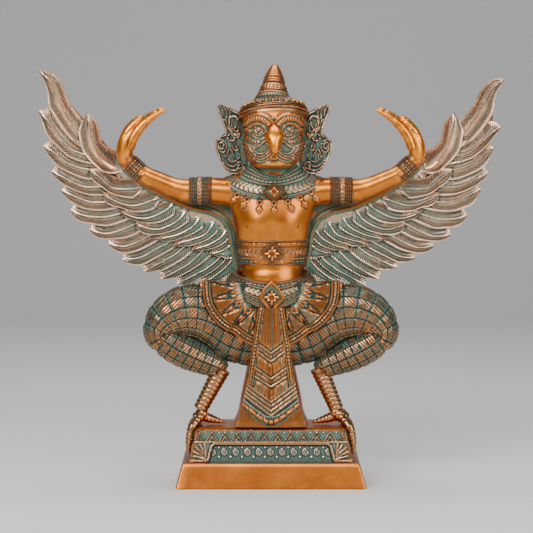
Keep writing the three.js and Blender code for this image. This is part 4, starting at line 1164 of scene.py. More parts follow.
@dataclass
class HipCloth:
    """Two fans of cloth over a thigh, with beaded rims, wedges, rings and pointed drops."""

    side: int
    top: float = 102.0

    def reach(self, angle: Array) -> Array:
        """Radius of the rim at an angle below the horizontal."""
        return np.interp(angle, (0, 0.3, 0.57, 0.91, 1.3), (49, 49.4, 47.6, 44.4, 46))

    def fan(self, start: float, end: float, back: float, count: int, size: float = 1.0) -> Shell:
        """One fan.

        Args:
            start: Angle of its upper edge below the horizontal.
            end: Angle of its lower edge.
            back: How far it lies behind the front one.
            count: How many wedges it has.
            size: Its radius as a share.

        Returns:
            The fan.
        """
        angle = np.linspace(start, end, 16 * count)[:, None]
        share = np.concatenate([np.linspace(0.3, 0.8, 16)[:-1], np.linspace(0.8, 1.0, 17)])[None]
        radius = self.reach(angle) * size * share
        x, z = radius * np.cos(angle), self.top - radius * np.sin(angle)
        edge = self.reach(angle) * size * (1 - share)
        run = angle * self.reach(angle)
        rim = 1.8 * hump((edge - 0.9) / 1.0) + 1.3 * hump((edge - 3.1) / 0.95) * bead(run / 2.3)
        rim += 1.3 * hump((edge - 5.4) / 0.8)
        cell = (angle - start) / (end - start) * count
        local = np.abs(cell % 1 - 0.5)
        width = radius * (end - start) / count
        wedge = (edge > 6.8) & (share > 0.52) & (local < 0.42 * np.clip((share - 0.5) / 0.34, 0, 1))
        off = np.abs(cell - np.round(cell)) * width
        pointed = off / np.clip(1.6 * (0.87 - share) / 0.2, 0.05, 1.6)
        spike = 1.9 * hump(pointed) * (share > 0.66) * (share < 0.87)
        round_ring = np.hypot(np.minimum(off, 9), radius - 0.55 * self.reach(angle) * size)
        eye = 1.3 * hump((round_ring - 1.7) / 0.8)
        scroll = 0.45 * bead(radius / 3.1) * bead(run / 3.4) * (share < 0.52)
        ground = np.where(wedge, 0.75, scroll) * (edge > 6.5)
        patina = np.where(edge < 6.3, np.where(rim > 0.7, 0.1, 0.95), 0.97)
        tone = 0.1 + 0.6 * chance(np.floor(cell) + 3 * size, np.float64(self.side))
        patina = np.where(wedge, tone, patina)
        patina = np.where((spike > 0.5) | (eye > 0.6), 0.1, patina)
        lift = rim + np.maximum(np.maximum(spike, eye), ground)
        face = -21.4 + back - 1.9 * share**2 + 0.0009 * x**2 + 3.4 * np.clip((0.52 - share) / 0.12, 0, 1)
        return plate(self.side * x, z, face + 9 - back, Work(lift, patina=patina), face)

    def build(self) -> list[Shell]:
        """Both fans and the hooked knob at the corner.

        Returns:
            The three forms.
        """
        x, z = 48.4, 99.6
        knob = ((self.side * x, -11.5, z - 3, 1.6, 2), (self.side * (x + 0.6), -12.5, z, 2.5, 2.6),
                (self.side * (x + 1.8), -12.5, z + 2.4, 1.5, 1.8),
                (self.side * (x + 3.6), -11.5, z + 3.4, 0.5, 0.7))
        corner = tube(spline(knob, 12), ring(12), even(0.15), Finish.CHASED)
        return [self.fan(-0.06, 0.82, 0, 3), self.fan(0.58, 1.42, 1.3, 3, 0.985), corner]


THIGH = (
    (2, -3, 68.5, 25, 12), (14, -3, 69, 26.5, 13), (26, -4, 72.4, 26.2, 14), (38, -5.5, 77.5, 22, 14.5),
    (50, -7, 81.7, 19.8, 14.5), (62, -8.5, 82, 18.3, 14), (72, -9, 78.5, 15.8, 13.5), (78, -9, 73.5, 13, 12),
    (81.5, -9, 67, 9.9, 10), (79.5, -9, 60.5, 8.4, 8.5), (76.5, -9, 55.5, 4, 5),
)
CALF = (
    (81, -9, 65.5, 5.5, 6.5), (76, -9, 61.5, 10.3, 10.8), (68, -8.5, 56.2, 11.6, 11.6),
    (58, -7.5, 50.8, 11.2, 11), (47, -6, 45.8, 9.6, 9.8), (38, -5, 42, 7.8, 8.2), (33, -5, 38.6, 4, 4.6),
)
# Where each square of a leg is divided again, for its grooves.
CUTS = (0.0, 0.12, 0.5, 0.88)


@dataclass
class Leg:
    """A bent leg cut in hatched squares, a ringed bird's shin and a clawed foot over the plinth's end."""

    side: int
    edge: float
    rings: int = 10
    claw: float = 3.1

    def squares(self, long: int, about: int, under: int, shine: float) -> Worker:
        """Work that cuts a limb in squares.

        Args:
            long: Squares along it.
            about: Squares round it.
            under: 1 where its underside comes first round the form, -1 where it comes last.
            shine: How much less patina it has towards its end, a painted highlight.

        Returns:
            The work.
        """
        def work(site: Site) -> Work:
            """Pillowed squares with slanting strokes.

            Args:
                site: Places on the limb.

            Returns:
                Its relief, strokes and patina.
            """
            u = site.along / site.along.max() * long
            v = (site.turn / TAU + 0.5) * about
            away = np.minimum(np.minimum(u % 1, 1 - u % 1), np.minimum(v % 1, 1 - v % 1))
            pillow = np.clip(away / 0.12, 0, 1) ** 0.5
            luck = chance(np.floor(u + 0.01) % long, np.floor(v + 0.01) % about)
            # Less patina towards the limb's end is a painted highlight, and more patina on the underside is
            # painted shade.
            lit = shine * np.clip((site.along / site.along.max() - 0.3) * 3, 0, 1)
            low = 0.3 * np.clip(-np.sin(site.turn * self.side) * under, 0, 1)
            patina = np.where(away < 0.1, 1.9, np.clip(0.38 - lit + low + 0.5 * (luck - 0.5), 0.05, 0.85))
            return Work(0.95 * pillow - 0.3, 0, pillow, patina)

        return work

    def ankle(self) -> Array:
        """Where the shin meets the foot."""
        return np.array((self.edge - (1.5 if self.side < 0 else 5), -4, 10.5))

    def shin(self) -> Shell:
        """The thin shin with its rings.

        Returns:
            The shin.
        """
        top = np.array((35.5, -5, 40) if self.side < 0 else (34.5, -5, 41.0))
        shares = cells(self.rings, (0.0, 0.22, 0.5, 0.78))
        path = top + (self.ankle() - top) * shares[:, None]
        radius = 7.0 - 1.5 * shares
        bulge = hump(2 * (shares * self.rings % 1) - 1) ** 0.6 * 0.5
        size = radius - 0.7 + bulge
        rows = np.column_stack([self.side * path[:, 0], path[:, 1:], size, size])
        shade = 1.6 - 0.4 * bulge[:, None] / 0.5 + 0.15 * (self.side > 0)
        return tube(rows, ring(20), lambda site: Work(patina=shade[site.row[:, 0]]), Finish.SCALE)

    def toe(self, stops: Points, grooves: int) -> Shell:
        """A toe with rings cut round it.

        Args:
            stops: Its stops, counted outwards.
            grooves: How many grooves it has.

        Returns:
            The toe.
        """
        rows = spline(stops, cells(grooves, (0.0, 0.3, 0.7)))
        cut = np.where(np.arange(len(rows)) % 3 == 0, -0.28, 0.1)[:, None]
        rows[:, 0] *= self.side

        def work(site: Site) -> Work:
            """Rings with grooves between them, worn in front."""
            lift = cut[site.row[:, 0]]
            return Work(lift, patina=1.5 - 0.35 * (lift > 0) * np.clip(site.front + 0.4, 0, 1))

        return tube(rows, ring(14), work, Finish.SCALE)

    def foot(self) -> list[Shell]:
        """Three ringed claws over the plinth's end, the paw and the hind toe.

        Returns:
            The toes and the paw.
        """
        ankle_x, ankle_y, ankle_z = self.ankle()
        reach = 20.64
        batter = Plinth.pedestal[3] / Plinth.pedestal[2]
        forms = []
        for spread in (-9, 0.5, 10):
            def drop(share: float, r: float, y: float = spread) -> tuple[float, ...]:
                """A stop of a claw beside the plinth's leaning end."""
                return (self.edge + batter * reach * share + r + 0.5, ankle_y + y, -reach * share, r, r)

            stops = ((self.edge - 2.5, ankle_y + spread * 0.35, 2 * self.claw, self.claw, self.claw),
                     drop(0.03, self.claw), drop(0.3, self.claw * 1.05), drop(0.55, self.claw * 0.95),
                     drop(0.8, self.claw * 0.72), drop(1, 0.6))
            forms.append(self.toe(stops, 10))
        paw = ((ankle_x - 3, ankle_y, ankle_z - 1, 4.9, 5.2), (self.edge - 2, ankle_y, 6.4, 5.2, 6),
               (self.edge + 3.2, ankle_y, 4.2, 3, 4))
        hind = ((ankle_x - 0.5, ankle_y, 6.2, 3.6, 4), (ankle_x - 6, ankle_y - 0.5, 4.4, 3.4, 4),
                (ankle_x - 11, ankle_y - 1, 3, 2.5, 3), (ankle_x - 17.5, ankle_y - 2, 1.5, 0.8, 1))
        return [*forms, self.toe(paw, 4), self.toe(hind, 6)]

    def build(self) -> list[Shell]:
        """All the forms of the leg.

        Returns:
            Thigh, calf, shin and foot.
        """
        limbs = []
        for stops, long, about, under, shine in ((THIGH, 13, 15, 1, 0.25), (CALF, 9, 10, -1, 0.0)):
            rows = spline(mirrored(stops, self.side), cells(long, CUTS))
            turns = np.append(0, cells(about, CUTS)[1:-1]) * TAU - np.pi
            limbs.append(tube(rows, turns, self.squares(long, about, under, shine), Finish.SCALE))
        return [*limbs, self.shin(), *self.foot()]


# Height, half width and front of the long panel.
LOINCLOTH = (
    (0.4, 25.5, -23), (4, 24, -23.4), (14, 20.8, -22.6), (30, 17.6, -22.2), (60, 13.4, -22.6),
    (86, 9.4, -22.8),
)


@dataclass
class Loincloth:
    """The long flared panel between the legs, and the folded tail behind it that carries the figure."""

    tiers: Points = ((53.4, 0.74), (47.5, 0.74), (35.2, 0.69), (29.4, 0.65))
    hems: Points = ((18.6, 0.72), (15.4, 0.72), (12.2, 0.72), (9.0, 0.74))

    def panel(self) -> Shell:
        """The panel: beaded rails, flutes that end in points, and a row of drops along its pointed hem.

        Returns:
            The panel.
        """
        table = np.array(LOINCLOTH, float)
        z = np.linspace(0.4, 86, 102)[:, None]
        half, front = (np.interp(z, table[:, 0], table[:, k]) for k in (1, 2))
        rail = np.array((1, 0.985, 0.965, 0.94, 0.915, 0.89, 0.865, 0.84, 0.815, 0.79, 0.765, 0.74))
        flutes = np.linspace(-0.72, 0.72, 41)
        share = np.concatenate([-rail, flutes, rail[::-1]])[None]
        x = half * share
        away = half - np.abs(x)
        hem = 1.2 + np.sqrt(16 + 0.64 * x**2)
        above = z > hem + 1.5
        fluted = 0.95 * np.clip(bead(share * 9.5 / 1.44 + 0.5), 0, 1) * (np.abs(share) < 0.7)
        middle = 0.5 * (np.abs(x) < 2.1) * (z < 50)
        rails = 1.1 * hump((away - 0.6) / 0.7) + 1.2 * hump((away - 2.3) / 1.0) * bead(z / 2.6)
        rails += 0.9 * hump((away - 4.1) / 0.6)
        ground = np.where(away < 4.8, rails, fluted + middle)
        tip = np.full(x.shape, 99.0)
        for height, slope in self.tiers:
            off = np.abs(z - height - slope * np.abs(x)) / np.hypot(1, slope)
            ground = np.where((away > 4.8) & (off < 1.7), 1.15 * hump(off / 0.85) - 0.3, ground)
        for height, slope in self.hems:
            off = (z - height - slope * np.abs(x)) / np.hypot(1, slope)
            tip = np.minimum(tip, np.abs(off))
            ground = np.where(off < 1.1, np.where(np.abs(off) < 1.1, hump(off / 0.85), 0.2), ground)
        angle = np.arcsinh(x / 11.6) * 11.6
        off = z - hem
        drops = 1.7 * hump((off + 1.0) / 1.8) * bead(angle / 3.7 + 0.5)
        strip = 0.8 * hump((off - 2.2) / 0.8) * (0.5 + 0.5 * bead(angle / 1.6))
        lift = np.where(above, ground, np.maximum(drops, 0.0) * (off > -2.8) + strip * (off > 0.8))
        lift = np.maximum(lift, strip) + 1.6 * (1 - share**2)
        bare = np.clip((-off - 3) / 2, 0, 1)
        patina = np.where(ground > 0.5, 0.35, 0.95) - 0.15 * (np.abs(x) < 2.1) * (z < 50)
        patina = np.where(above, patina + 0.2 * (tip < 6), 0.2 + 0.5 * (1 - bare) * (drops < 0.9))
        return plate(x, z + 0 * x, -6.0, Work(lift, patina=patina), front, skip=8)

    def tail(self) -> Shell:
        """The pillar of the folded tail, widest at its foot.

        Returns:
            The tail.
        """
        levels = ((0, 27, -20, 20), (1.2, 27, -20, 20), (3.4, 26, -20, 19.2), (10, 23.6, -19.6, 17.6),
                  (22, 21.5, -19, 16), (44, 17, -18, 14), (60, 15.2, -17, 13), (74, 14, -16, 12))
        rows = [(0, (front + back) / 2, z, half, (back - front) / 2) for z, half, front, back in levels]

        def work(site: Site) -> Work:
            """Polished sides, and shallow folds down the back."""
            back = np.clip(-site.front, 0, 1)
            return Work(0.9 * back * (bead(site.turn * 9 / np.pi) - 0.6), patina=0.42 + 0.2 * back)

        return tube(spline(rows, 40), ring(72), work, Finish.SKIN, 0.62)

    def build(self) -> list[Shell]:
        """The panel and the tail."""
        return [self.panel(), self.tail()]


@dataclass
class Plinth:
    """The stepped plinth: a plain leaning slab under a carved pedestal with bracket feet."""

    slab: tuple[float, float, float, float] = (136, 74, 18, 5)
    pedestal: tuple[float, float, float, float] = (116, 58, 24, 5.5)
    edge: float = 2.6
    teeth: float = 9.4
    scrolls: int = 11

    @property
    def top(self) -> float:
        """Height of the pedestal's top."""
        return self.slab[2] + self.pedestal[2]

    def half(self, size: float, z: Array | float) -> Array | float:
        """Half of a pedestal size at a height on its leaning sides."""
        return size / 2 - self.pedestal[3] * (z - self.slab[2]) / self.pedestal[2]

    def block(self, levels: Points, patina: Sequence[float]) -> Shell:
        """A block with rounded corners.

        Args:
            levels: Height, half width and half depth of each ring.
            patina: Patina of each ring.

        Returns:
            The block.
        """
        rings = []
        for z, wide, deep in levels:
            corner = min(1.4, wide * 0.4, deep * 0.4)
            points = []
            for k in range(4):
                turn = k * TAU / 4 + np.linspace(0, TAU / 4, 5)
                centre = np.array((wide - corner, deep - corner)) * ((1, 1), (-1, 1), (-1, -1), (1, -1))[k]
                points.append(centre + corner * np.stack([np.cos(turn), np.sin(turn)], -1))
            bare = np.vstack([*points, points[0][:1]])
            count = (1, 1, 1, 1, 22, 1, 1, 1, 1, 12) * 2
            path = [a + (b - a) * np.arange(n)[:, None] / n for a, b, n in zip(bare, bare[1:], count)]
            flat = np.vstack(path)
            rings.append(np.column_stack([flat, np.full(len(flat), z)]))
        grid = np.array(rings)
        marks = Work(patina=np.asarray(patina)[:, None]).marks(grid.shape[:2])
        return loft(grid, marks, Finish.SKIN)

    def face(self, quarter: int) -> Shell:
        """The carving of one side of the pedestal, with scrolls on the front alone.

        Args:
            quarter: 0 for the front, then anticlockwise.

        Returns:
            The relief, from bracket feet to frieze.
        """
        wide, deep = self.pedestal[:2] if quarter % 2 == 0 else self.pedestal[1::-1]
        levels = np.append(np.linspace(self.slab[2] - 1, 32, 34)[:-1], np.linspace(32, self.top - 1.1, 26))
        z = levels[:, None]
        half = self.half(wide, z)
        x = half * np.linspace(-1, 1, int(wide * 2.1))[None]
        z = np.broadcast_to(z, x.shape)
        mirror, foot = np.abs(x), wide / 2 - 12.6
        line = ((0, 31.2), (foot - 5, 31.2), (foot - 2.8, 29.6), (foot - 0.6, 21), (foot, 19.2),
                (wide / 2 + 3, 19.2))
        away, _ = trace(mirror, z, line)
        frame_rise = 0.8 * hump(away / 0.9) - 0.3 * hump((away - 1.5) / 0.6)
        edge = np.interp(z, (19.2, 21, 29.6, 31.2), (foot, foot - 0.6, foot - 2.8, foot - 5))
        inside = (z < 31.2) & (mirror < edge)
        sunk = -1.1 * np.clip(away - 0.8, 0, 1) * inside
        pitch = (wide - 13) / round((wide - 13) / self.teeth)
        local = np.abs((x / pitch) % 1 - 0.5) * pitch
        height = 7.0
        climb = z - 33 + local * height / (pitch / 2)
        teeth = sum(0.9 * hump((climb - height * level) / 0.85) for level in (0.92, 0.45))
        dots = 0.9 * hump(np.hypot(local - pitch / 2, z - 39) / 1.0)
        frieze = np.maximum(teeth * (climb < height + 0.9), dots) - 0.3
        frieze = np.where(mirror > wide / 2 - 6.5, -0.1, frieze)
        borders = 0.7 * hump((z - 32.4) / 0.6) + 0.6 * hump((z - 40.4) / 0.5)
        lift = np.where(z > 32.9, frieze, frame_rise + sunk) + borders
        fronds = [((foot + 1, 19.8), (foot + 1 + 0.45 * dx, 19.8 + 0.6 * dz), (foot + 1 + dx, 19.8 + dz))
                  for dx, dz in ((1.2, 11.4), (4.4, 10.9), (7, 8.8), (8.6, 5.8), (8.8, 2.9))]
        leaf = fold_relief(mirror, z, [Fold(frond, 0.85, 0.95, groove=0.35) for frond in fronds])
        lift = np.where((mirror > foot + 0.6) & (z < 32) & (z > 19.9), leaf.lift, lift)
        if quarter == 0:
            span = 2 * foot / self.scrolls
            middles = [(k + 0.5 - self.scrolls / 2) * span for k in range(self.scrolls)]
            folds = [Fold(loop(middle, 25.1, -2.3, 2.4, 1.5, 0.25), 0.55, 0.3, groove=0.15)
                     for middle in middles]
            curls = fold_relief(x, z, folds)
            between = np.abs((x / span) % 1 - 0.5 + 0.5 * (self.scrolls % 2)) * span - span / 2
            studs = sum(0.35 * hump(np.hypot(between, z - level) / 0.85) for level in (21.8, 28.6))
            lift = lift + (curls.lift + studs) * inside * (away > 1.3)
        ground = 1.0 + 0.35 * inside
        patina = np.where(lift > 0.3, np.where(z > 33, 0.6, 0.55), ground) * np.where(z > 41, 0.4, 1)
        front = -self.half(deep, z)
        shell = plate(x, z, front + 3.0, Work(lift, patina=patina), front, 7, Finish.LEAF)
        turn = Matrix.Rotation(quarter * TAU / 4, 3, "Z")
        shell.points = shell.points @ np.array(turn).T
        return shell

    def build(self) -> list[Shell]:
        """Slab, pedestal core and the four carved sides.

        Returns:
            The six forms.
        """
        wide, deep, high, batter = self.slab
        lean = batter / high
        levels = [(0, wide / 2 - 0.8, deep / 2 - 0.8), (0.8, wide / 2 - 0.2, deep / 2 - 0.2)]
        levels += [(z, wide / 2 - lean * z, deep / 2 - lean * z) for z in (3, 6, 9, 12, 15, high - 0.7)]
        levels += [(high - 0.2, wide / 2 - batter - 0.2, deep / 2 - batter - 0.2)]
        levels += [(high, wide / 2 - batter - inset, deep / 2 - batter - inset)
                   for inset in (0.9, 3, 6, 10, 20, 30)]
        slab = self.block(levels, [0.55, 0.36, 0.3, 0.28, *(0.26,) * 3, 0.3, 0.35, 0.4, 0.6, *(0.8,) * 4])
        steps = ((12, 2.4), (self.top - 2.6, 2.4), (self.top - 2.4, 0), (self.top - 1.6, 0),
                 (self.top - 0.8, 0.8), (self.top - 0.15, 1.9),
                 *((self.top, inset) for inset in (self.edge, 5, 9, 14, 20)))
        body = [(z, *(self.half(size, z) - inset for size in self.pedestal[:2])) for z, inset in steps]
        core = self.block(body, [0.5, 0.5, 0.4, 0.25, 0.1, 0.05, 0.05, 0.1, 0.2, 0.3, 0.4])
        return [slab, core, *(self.face(quarter) for quarter in range(4))]


class Signal:
    """A value that runs between the nodes of a material."""

    def __init__(self, graph: "Graph", socket: bpy.types.NodeSocket) -> None:
        """Keeps the socket and the graph that it belongs to."""
        self.graph = graph
        self.socket = socket

    def __add__(self, other: "Signal | float") -> "Signal":
        """Sum."""
        return self.graph.number("ADD", self, other)

    def __sub__(self, other: "Signal | float") -> "Signal":
        """Difference."""
        return self.graph.number("SUBTRACT", self, other)

    def __rsub__(self, other: float) -> "Signal":
        """Difference from a number."""
        return self.graph.number("SUBTRACT", other, self)

    def __mul__(self, other: "Signal | float") -> "Signal":
        """Product."""
        return self.graph.number("MULTIPLY", self, other)

    __radd__ = __add__
    __rmul__ = __mul__

    def clamp(self) -> "Signal":
        """The value kept from 0 to 1."""
        return self.graph.number("ADD", self, 0.0, clamped=True)


Value = Signal | float
Colour = tuple[float, float, float]


class Graph:
    """The nodes of one material."""

    def __init__(self, name: str) -> None:
        """Makes an empty material.

        Args:
            name: Name of the material.
        """
        self.material = bpy.data.materials.new(name)
        self.material.use_nodes = True
        self.tree = self.material.node_tree
        self.tree.nodes.clear()

    def node(self, kind: str, settings: dict[str, object] | None = None,
             values: dict[str | int, object] | None = None) -> bpy.types.Node:
        """A node with its settings and then the values or links of its sockets.

        Args:
            kind: Its type.
            settings: Its properties, such as a Math node's operation.
            values: What its inputs take, by name or number.

        Returns:
            The node.
        """
        made = self.tree.nodes.new(kind)
        for name, value in (settings or {}).items():
            setattr(made, name, value)
        for key, value in (values or {}).items():
            if isinstance(value, Signal):
                self.tree.links.new(value.socket, made.inputs[key])
            else:
                made.inputs[key].default_value = value
        return made

    def number(self, operation: str, *values: Value, clamped: bool = False) -> Signal:
        """Arithmetic on values."""
        settings = {"operation": operation, "use_clamp": clamped}
        return Signal(self, self.node("ShaderNodeMath", settings, dict(enumerate(values))).outputs[0])

    def attribute(self, name: str) -> tuple[Signal, Signal, Signal]:
        """The three numbers that each point of the mesh keeps under a name.

        Args:
            name: Name of the attribute.

        Returns:
            The numbers.
        """
        vector = self.node("ShaderNodeAttribute", {"attribute_name": name}).outputs["Vector"]
        parts = self.node("ShaderNodeSeparateXYZ", None, {0: Signal(self, vector)})
        return tuple(Signal(self, socket) for socket in parts.outputs)

    def slant(self) -> Signal:
        """How far a place lies along a slanting direction of the front view, mirrored, in metres.

        Returns:
            The distance, kept above 0.
        """
        place = Signal(self, self.node("ShaderNodeTexCoord").outputs["Object"])
        across, _, up = self.node("ShaderNodeSeparateXYZ", None, {0: place}).outputs
        return self.number("ABSOLUTE", Signal(self, across)) * 0.72 + Signal(self, up) * 0.69 + 1.0

    def noise(self, scale: float, detail: float = 3.0, rough: float = 0.55) -> Signal:
        """Cloudy variation, so many times a metre.

        Args:
            scale: How fine it is.
            detail: How many finer layers it has.
            rough: How strong they are.

        Returns:
            The variation, about 0.5.
        """
        place = Signal(self, self.node("ShaderNodeTexCoord").outputs["Object"])
        values = {"Vector": place, "Scale": scale, "Detail": detail, "Roughness": rough}
        return Signal(self, self.node("ShaderNodeTexNoise", None, values).outputs[0])

    def blend(self, share: Value, low: Signal | Colour, high: Signal | Colour) -> Signal:
        """A colour between two colours.

        Args:
            share: How much of the second.
            low: The first colour.
            high: The second.

        Returns:
            The mixture.
        """
        low, high = (value if isinstance(value, Signal) else (*value, 1.0) for value in (low, high))
        made = self.node("ShaderNodeMix", {"data_type": "RGBA"}, {0: share, 6: low, 7: high})
        return Signal(self, made.outputs[2])

    def finish(self, values: dict[str | int, object], normal: Signal | None = None) -> bpy.types.Material:
        """Joins a Principled shader to the output and returns the material.

        Args:
            values: Inputs of the shader.
            normal: Its normal, if not the mesh's own.

        Returns:
            The material.
        """
        if normal is not None:
            values = {**values, "Normal": normal}
        shader = self.node("ShaderNodeBsdfPrincipled", None, values)
        self.node("ShaderNodeOutputMaterial", None, {"Surface": Signal(self, shader.outputs[0])})
        return self.material


@dataclass(frozen=True)
class AgedCopper:
    """Copper-toned brass: ridges rubbed bright where hands reach and painted as highlight, brown over most of
    it, green in the hollows.

    Polish and dull are the roughness of bare metal and of patina. Cover is how readily patina spreads, wide
    how much broad hollows count, hatch the spacing of slanting strokes in millimetres, or 0 for the form's
    own strokes, ink the darkness of strokes and grime_and_shade that of hollows and sheltered places,
    partly grime and partly painted shade.
    """

    name: str
    bright: Colour = (0.88, 0.295, 0.032)
    brown: Colour = (0.32, 0.066, 0.014)
    # Colour of ridges in patina: partly rubbed wear, partly painted highlight.
    rubbed_highlight: Colour = (0.60, 0.36, 0.20)
    green: Colour = (0.036, 0.115, 0.078)
    pale: Colour = (0.13, 0.25, 0.18)
    # Near black of hollows and sheltered places: partly soot, partly painted shade.
    soot_and_shade: Colour = (0.006, 0.013, 0.010)
    polish: float = 0.27
    dull: float = 0.6
    cover: float = 1.1
    wide: float = 0.5
    hatch: float = 0.0
    ink: float = 1.15
    grime_and_shade: float = 1.0

    def make(self) -> bpy.types.Material:
        """The material.

        Returns:
            The material.
        """
        graph = Graph(self.name)
        stroke, depth, patina = graph.attribute("marks")
        fine, broad, shelter = graph.attribute("age")
        cloud, drift, grain = graph.noise(55, 4), graph.noise(160, 4, 0.6), graph.noise(1100, 2)
        if self.hatch:
            stroke = graph.slant() * 1000
        line = graph.number("FRACT", stroke * (1 / (self.hatch or STROKE)))
        cut = ((graph.number("ABSOLUTE", line - 0.5) * 2 - 0.42) * 3).clamp() * depth
        sunk = fine * 0.75 + broad * self.wide + cut * 0.9
        # Recess mixes the hollows with the ray-cast shelter: it places patina and feeds the painted shade
        # below.
        recess = (sunk + shelter * (0.9 * self.grime_and_shade) + (drift - 0.5) * 0.4 - 0.12).clamp()
        ridge = (sunk * -1.1 - shelter * 0.3 + (drift - 0.5) * 0.5).clamp()
        film = ((patina * self.cover + recess * 1.3 + (cloud - 0.5) * 0.5 - ridge * 1.3 - 0.5) * 1.7).clamp()
        # Near-black soil of hollows and sheltered places: partly real grime, partly painted shade.
        soil_and_shade = (fine * 1.3 + shelter * 0.7) * self.grime_and_shade + (patina - 1.0).clamp() * 2.0
        dark = ((soil_and_shade + cut * self.ink + (drift - 0.5) * 0.4 - 0.5) * 2.0).clamp()
        # Ridges take the bright colour, and in patina the rubbed one: partly wear, partly painted highlight.
        lit = (cloud * 0.8 + ridge * 1.2 - patina * 0.7 + 0.15).clamp()
        metal = graph.blend(lit, self.brown, self.bright)
        metal = graph.blend((patina * 1.5 - 0.45).clamp() * (ridge * 1.4).clamp(), metal, self.rubbed_highlight)
        # The green crust is paler on ridges and darker in sheltered hollows: partly its own tone, partly
        # painted highlight and shade.
        crust = graph.blend((drift * 1.6 - 0.5 + ridge - recess * 0.4).clamp(), self.green, self.pale)
        base = graph.blend(dark, graph.blend(film, metal, crust), self.soot_and_shade)
        height = grain * 0.025 + cut * -0.16 + drift * 0.06 * film
        bump = graph.node("ShaderNodeBump", None, {"Strength": 1.0, "Distance": 0.001, "Height": height})
        rough = self.polish + film * (self.dull - self.polish) + dark * 0.15 + (grain - 0.5) * 0.12
        values = {
            "Base Color": base,
            "Metallic": (1.0 - film * 0.85 - dark * 0.6).clamp(),
            "Roughness": rough.clamp(),
            "Coat Weight": 0.05,
            "Coat Roughness": 0.25,
        }
        return graph.finish(values, Signal(graph, bump.outputs[0]))


@dataclass(frozen=True)
class PalePaper:
    """The plain pale sheet that the piece stands on."""

    tone: Colour = (0.74, 0.735, 0.73)

    def make(self) -> bpy.types.Material:
        """The material.

        Returns:
            The material.
        """
        graph = Graph("pale_paper")
        tint = graph.blend(graph.noise(6, 2) * 0.5, self.tone, tuple(value * 0.97 for value in self.tone))
        return graph.finish({"Base Color": tint, "Roughness": 0.85})


FINISHES = {
    Finish.SKIN: AgedCopper("rubbed_copper", polish=0.33, cover=1.0, wide=0.12, grime_and_shade=0.45),
    # The feathers' metal colours are set lighter, partly as painted highlight.
    Finish.PLUME: AgedCopper("feathered_copper", bright=(0.95, 0.63, 0.43), brown=(0.44, 0.26, 0.16),
                             rubbed_highlight=(0.86, 0.53, 0.30), pale=(0.38, 0.49, 0.39), green=(0.10, 0.20, 0.145),
                             cover=1.25, ink=0.85, grime_and_shade=0.8),
    Finish.SCALE: AgedCopper("scaled_copper", bright=(0.64, 0.25, 0.08), brown=(0.23, 0.085, 0.032),
                             rubbed_highlight=(0.40, 0.20, 0.09), cover=1.05, hatch=1.9, ink=0.85, grime_and_shade=1.4),
    Finish.CHASED: AgedCopper("chased_copper", bright=(0.55, 0.20, 0.05), brown=(0.17, 0.052, 0.012),
                              rubbed_highlight=(0.44, 0.24, 0.125), cover=1.3, polish=0.35),
    Finish.LEAF: AgedCopper("leafy_copper", bright=(0.50, 0.22, 0.07), rubbed_highlight=(0.68, 0.45, 0.29), cover=1.1,
                            green=(0.045, 0.12, 0.09), pale=(0.13, 0.21, 0.165), brown=(0.17, 0.052, 0.012),
                            grime_and_shade=0.7),
}


def show(name: str, data: bpy.types.ID) -> bpy.types.Object:
    """Puts an object in the scene.

    Args:
        name: Its name.
        data: Its mesh, lamp or camera.

    Returns:
        The object.
    """
    made = bpy.data.objects.new(name, data)
    bpy.context.scene.collection.objects.link(made)
    return made


def keep(mesh: bpy.types.Mesh, name: str, rows: Array) -> None:
    """Keeps three numbers at each point of a mesh under a name."""
    kept = mesh.attributes.new(name, "FLOAT_VECTOR", "POINT")
    kept.data.foreach_set("vector", rows.astype("f").ravel())


def triangles(mesh: bpy.types.Mesh) -> int:
    """How many triangles a mesh has."""
    return sum(len(face.vertices) - 2 for face in mesh.polygons)


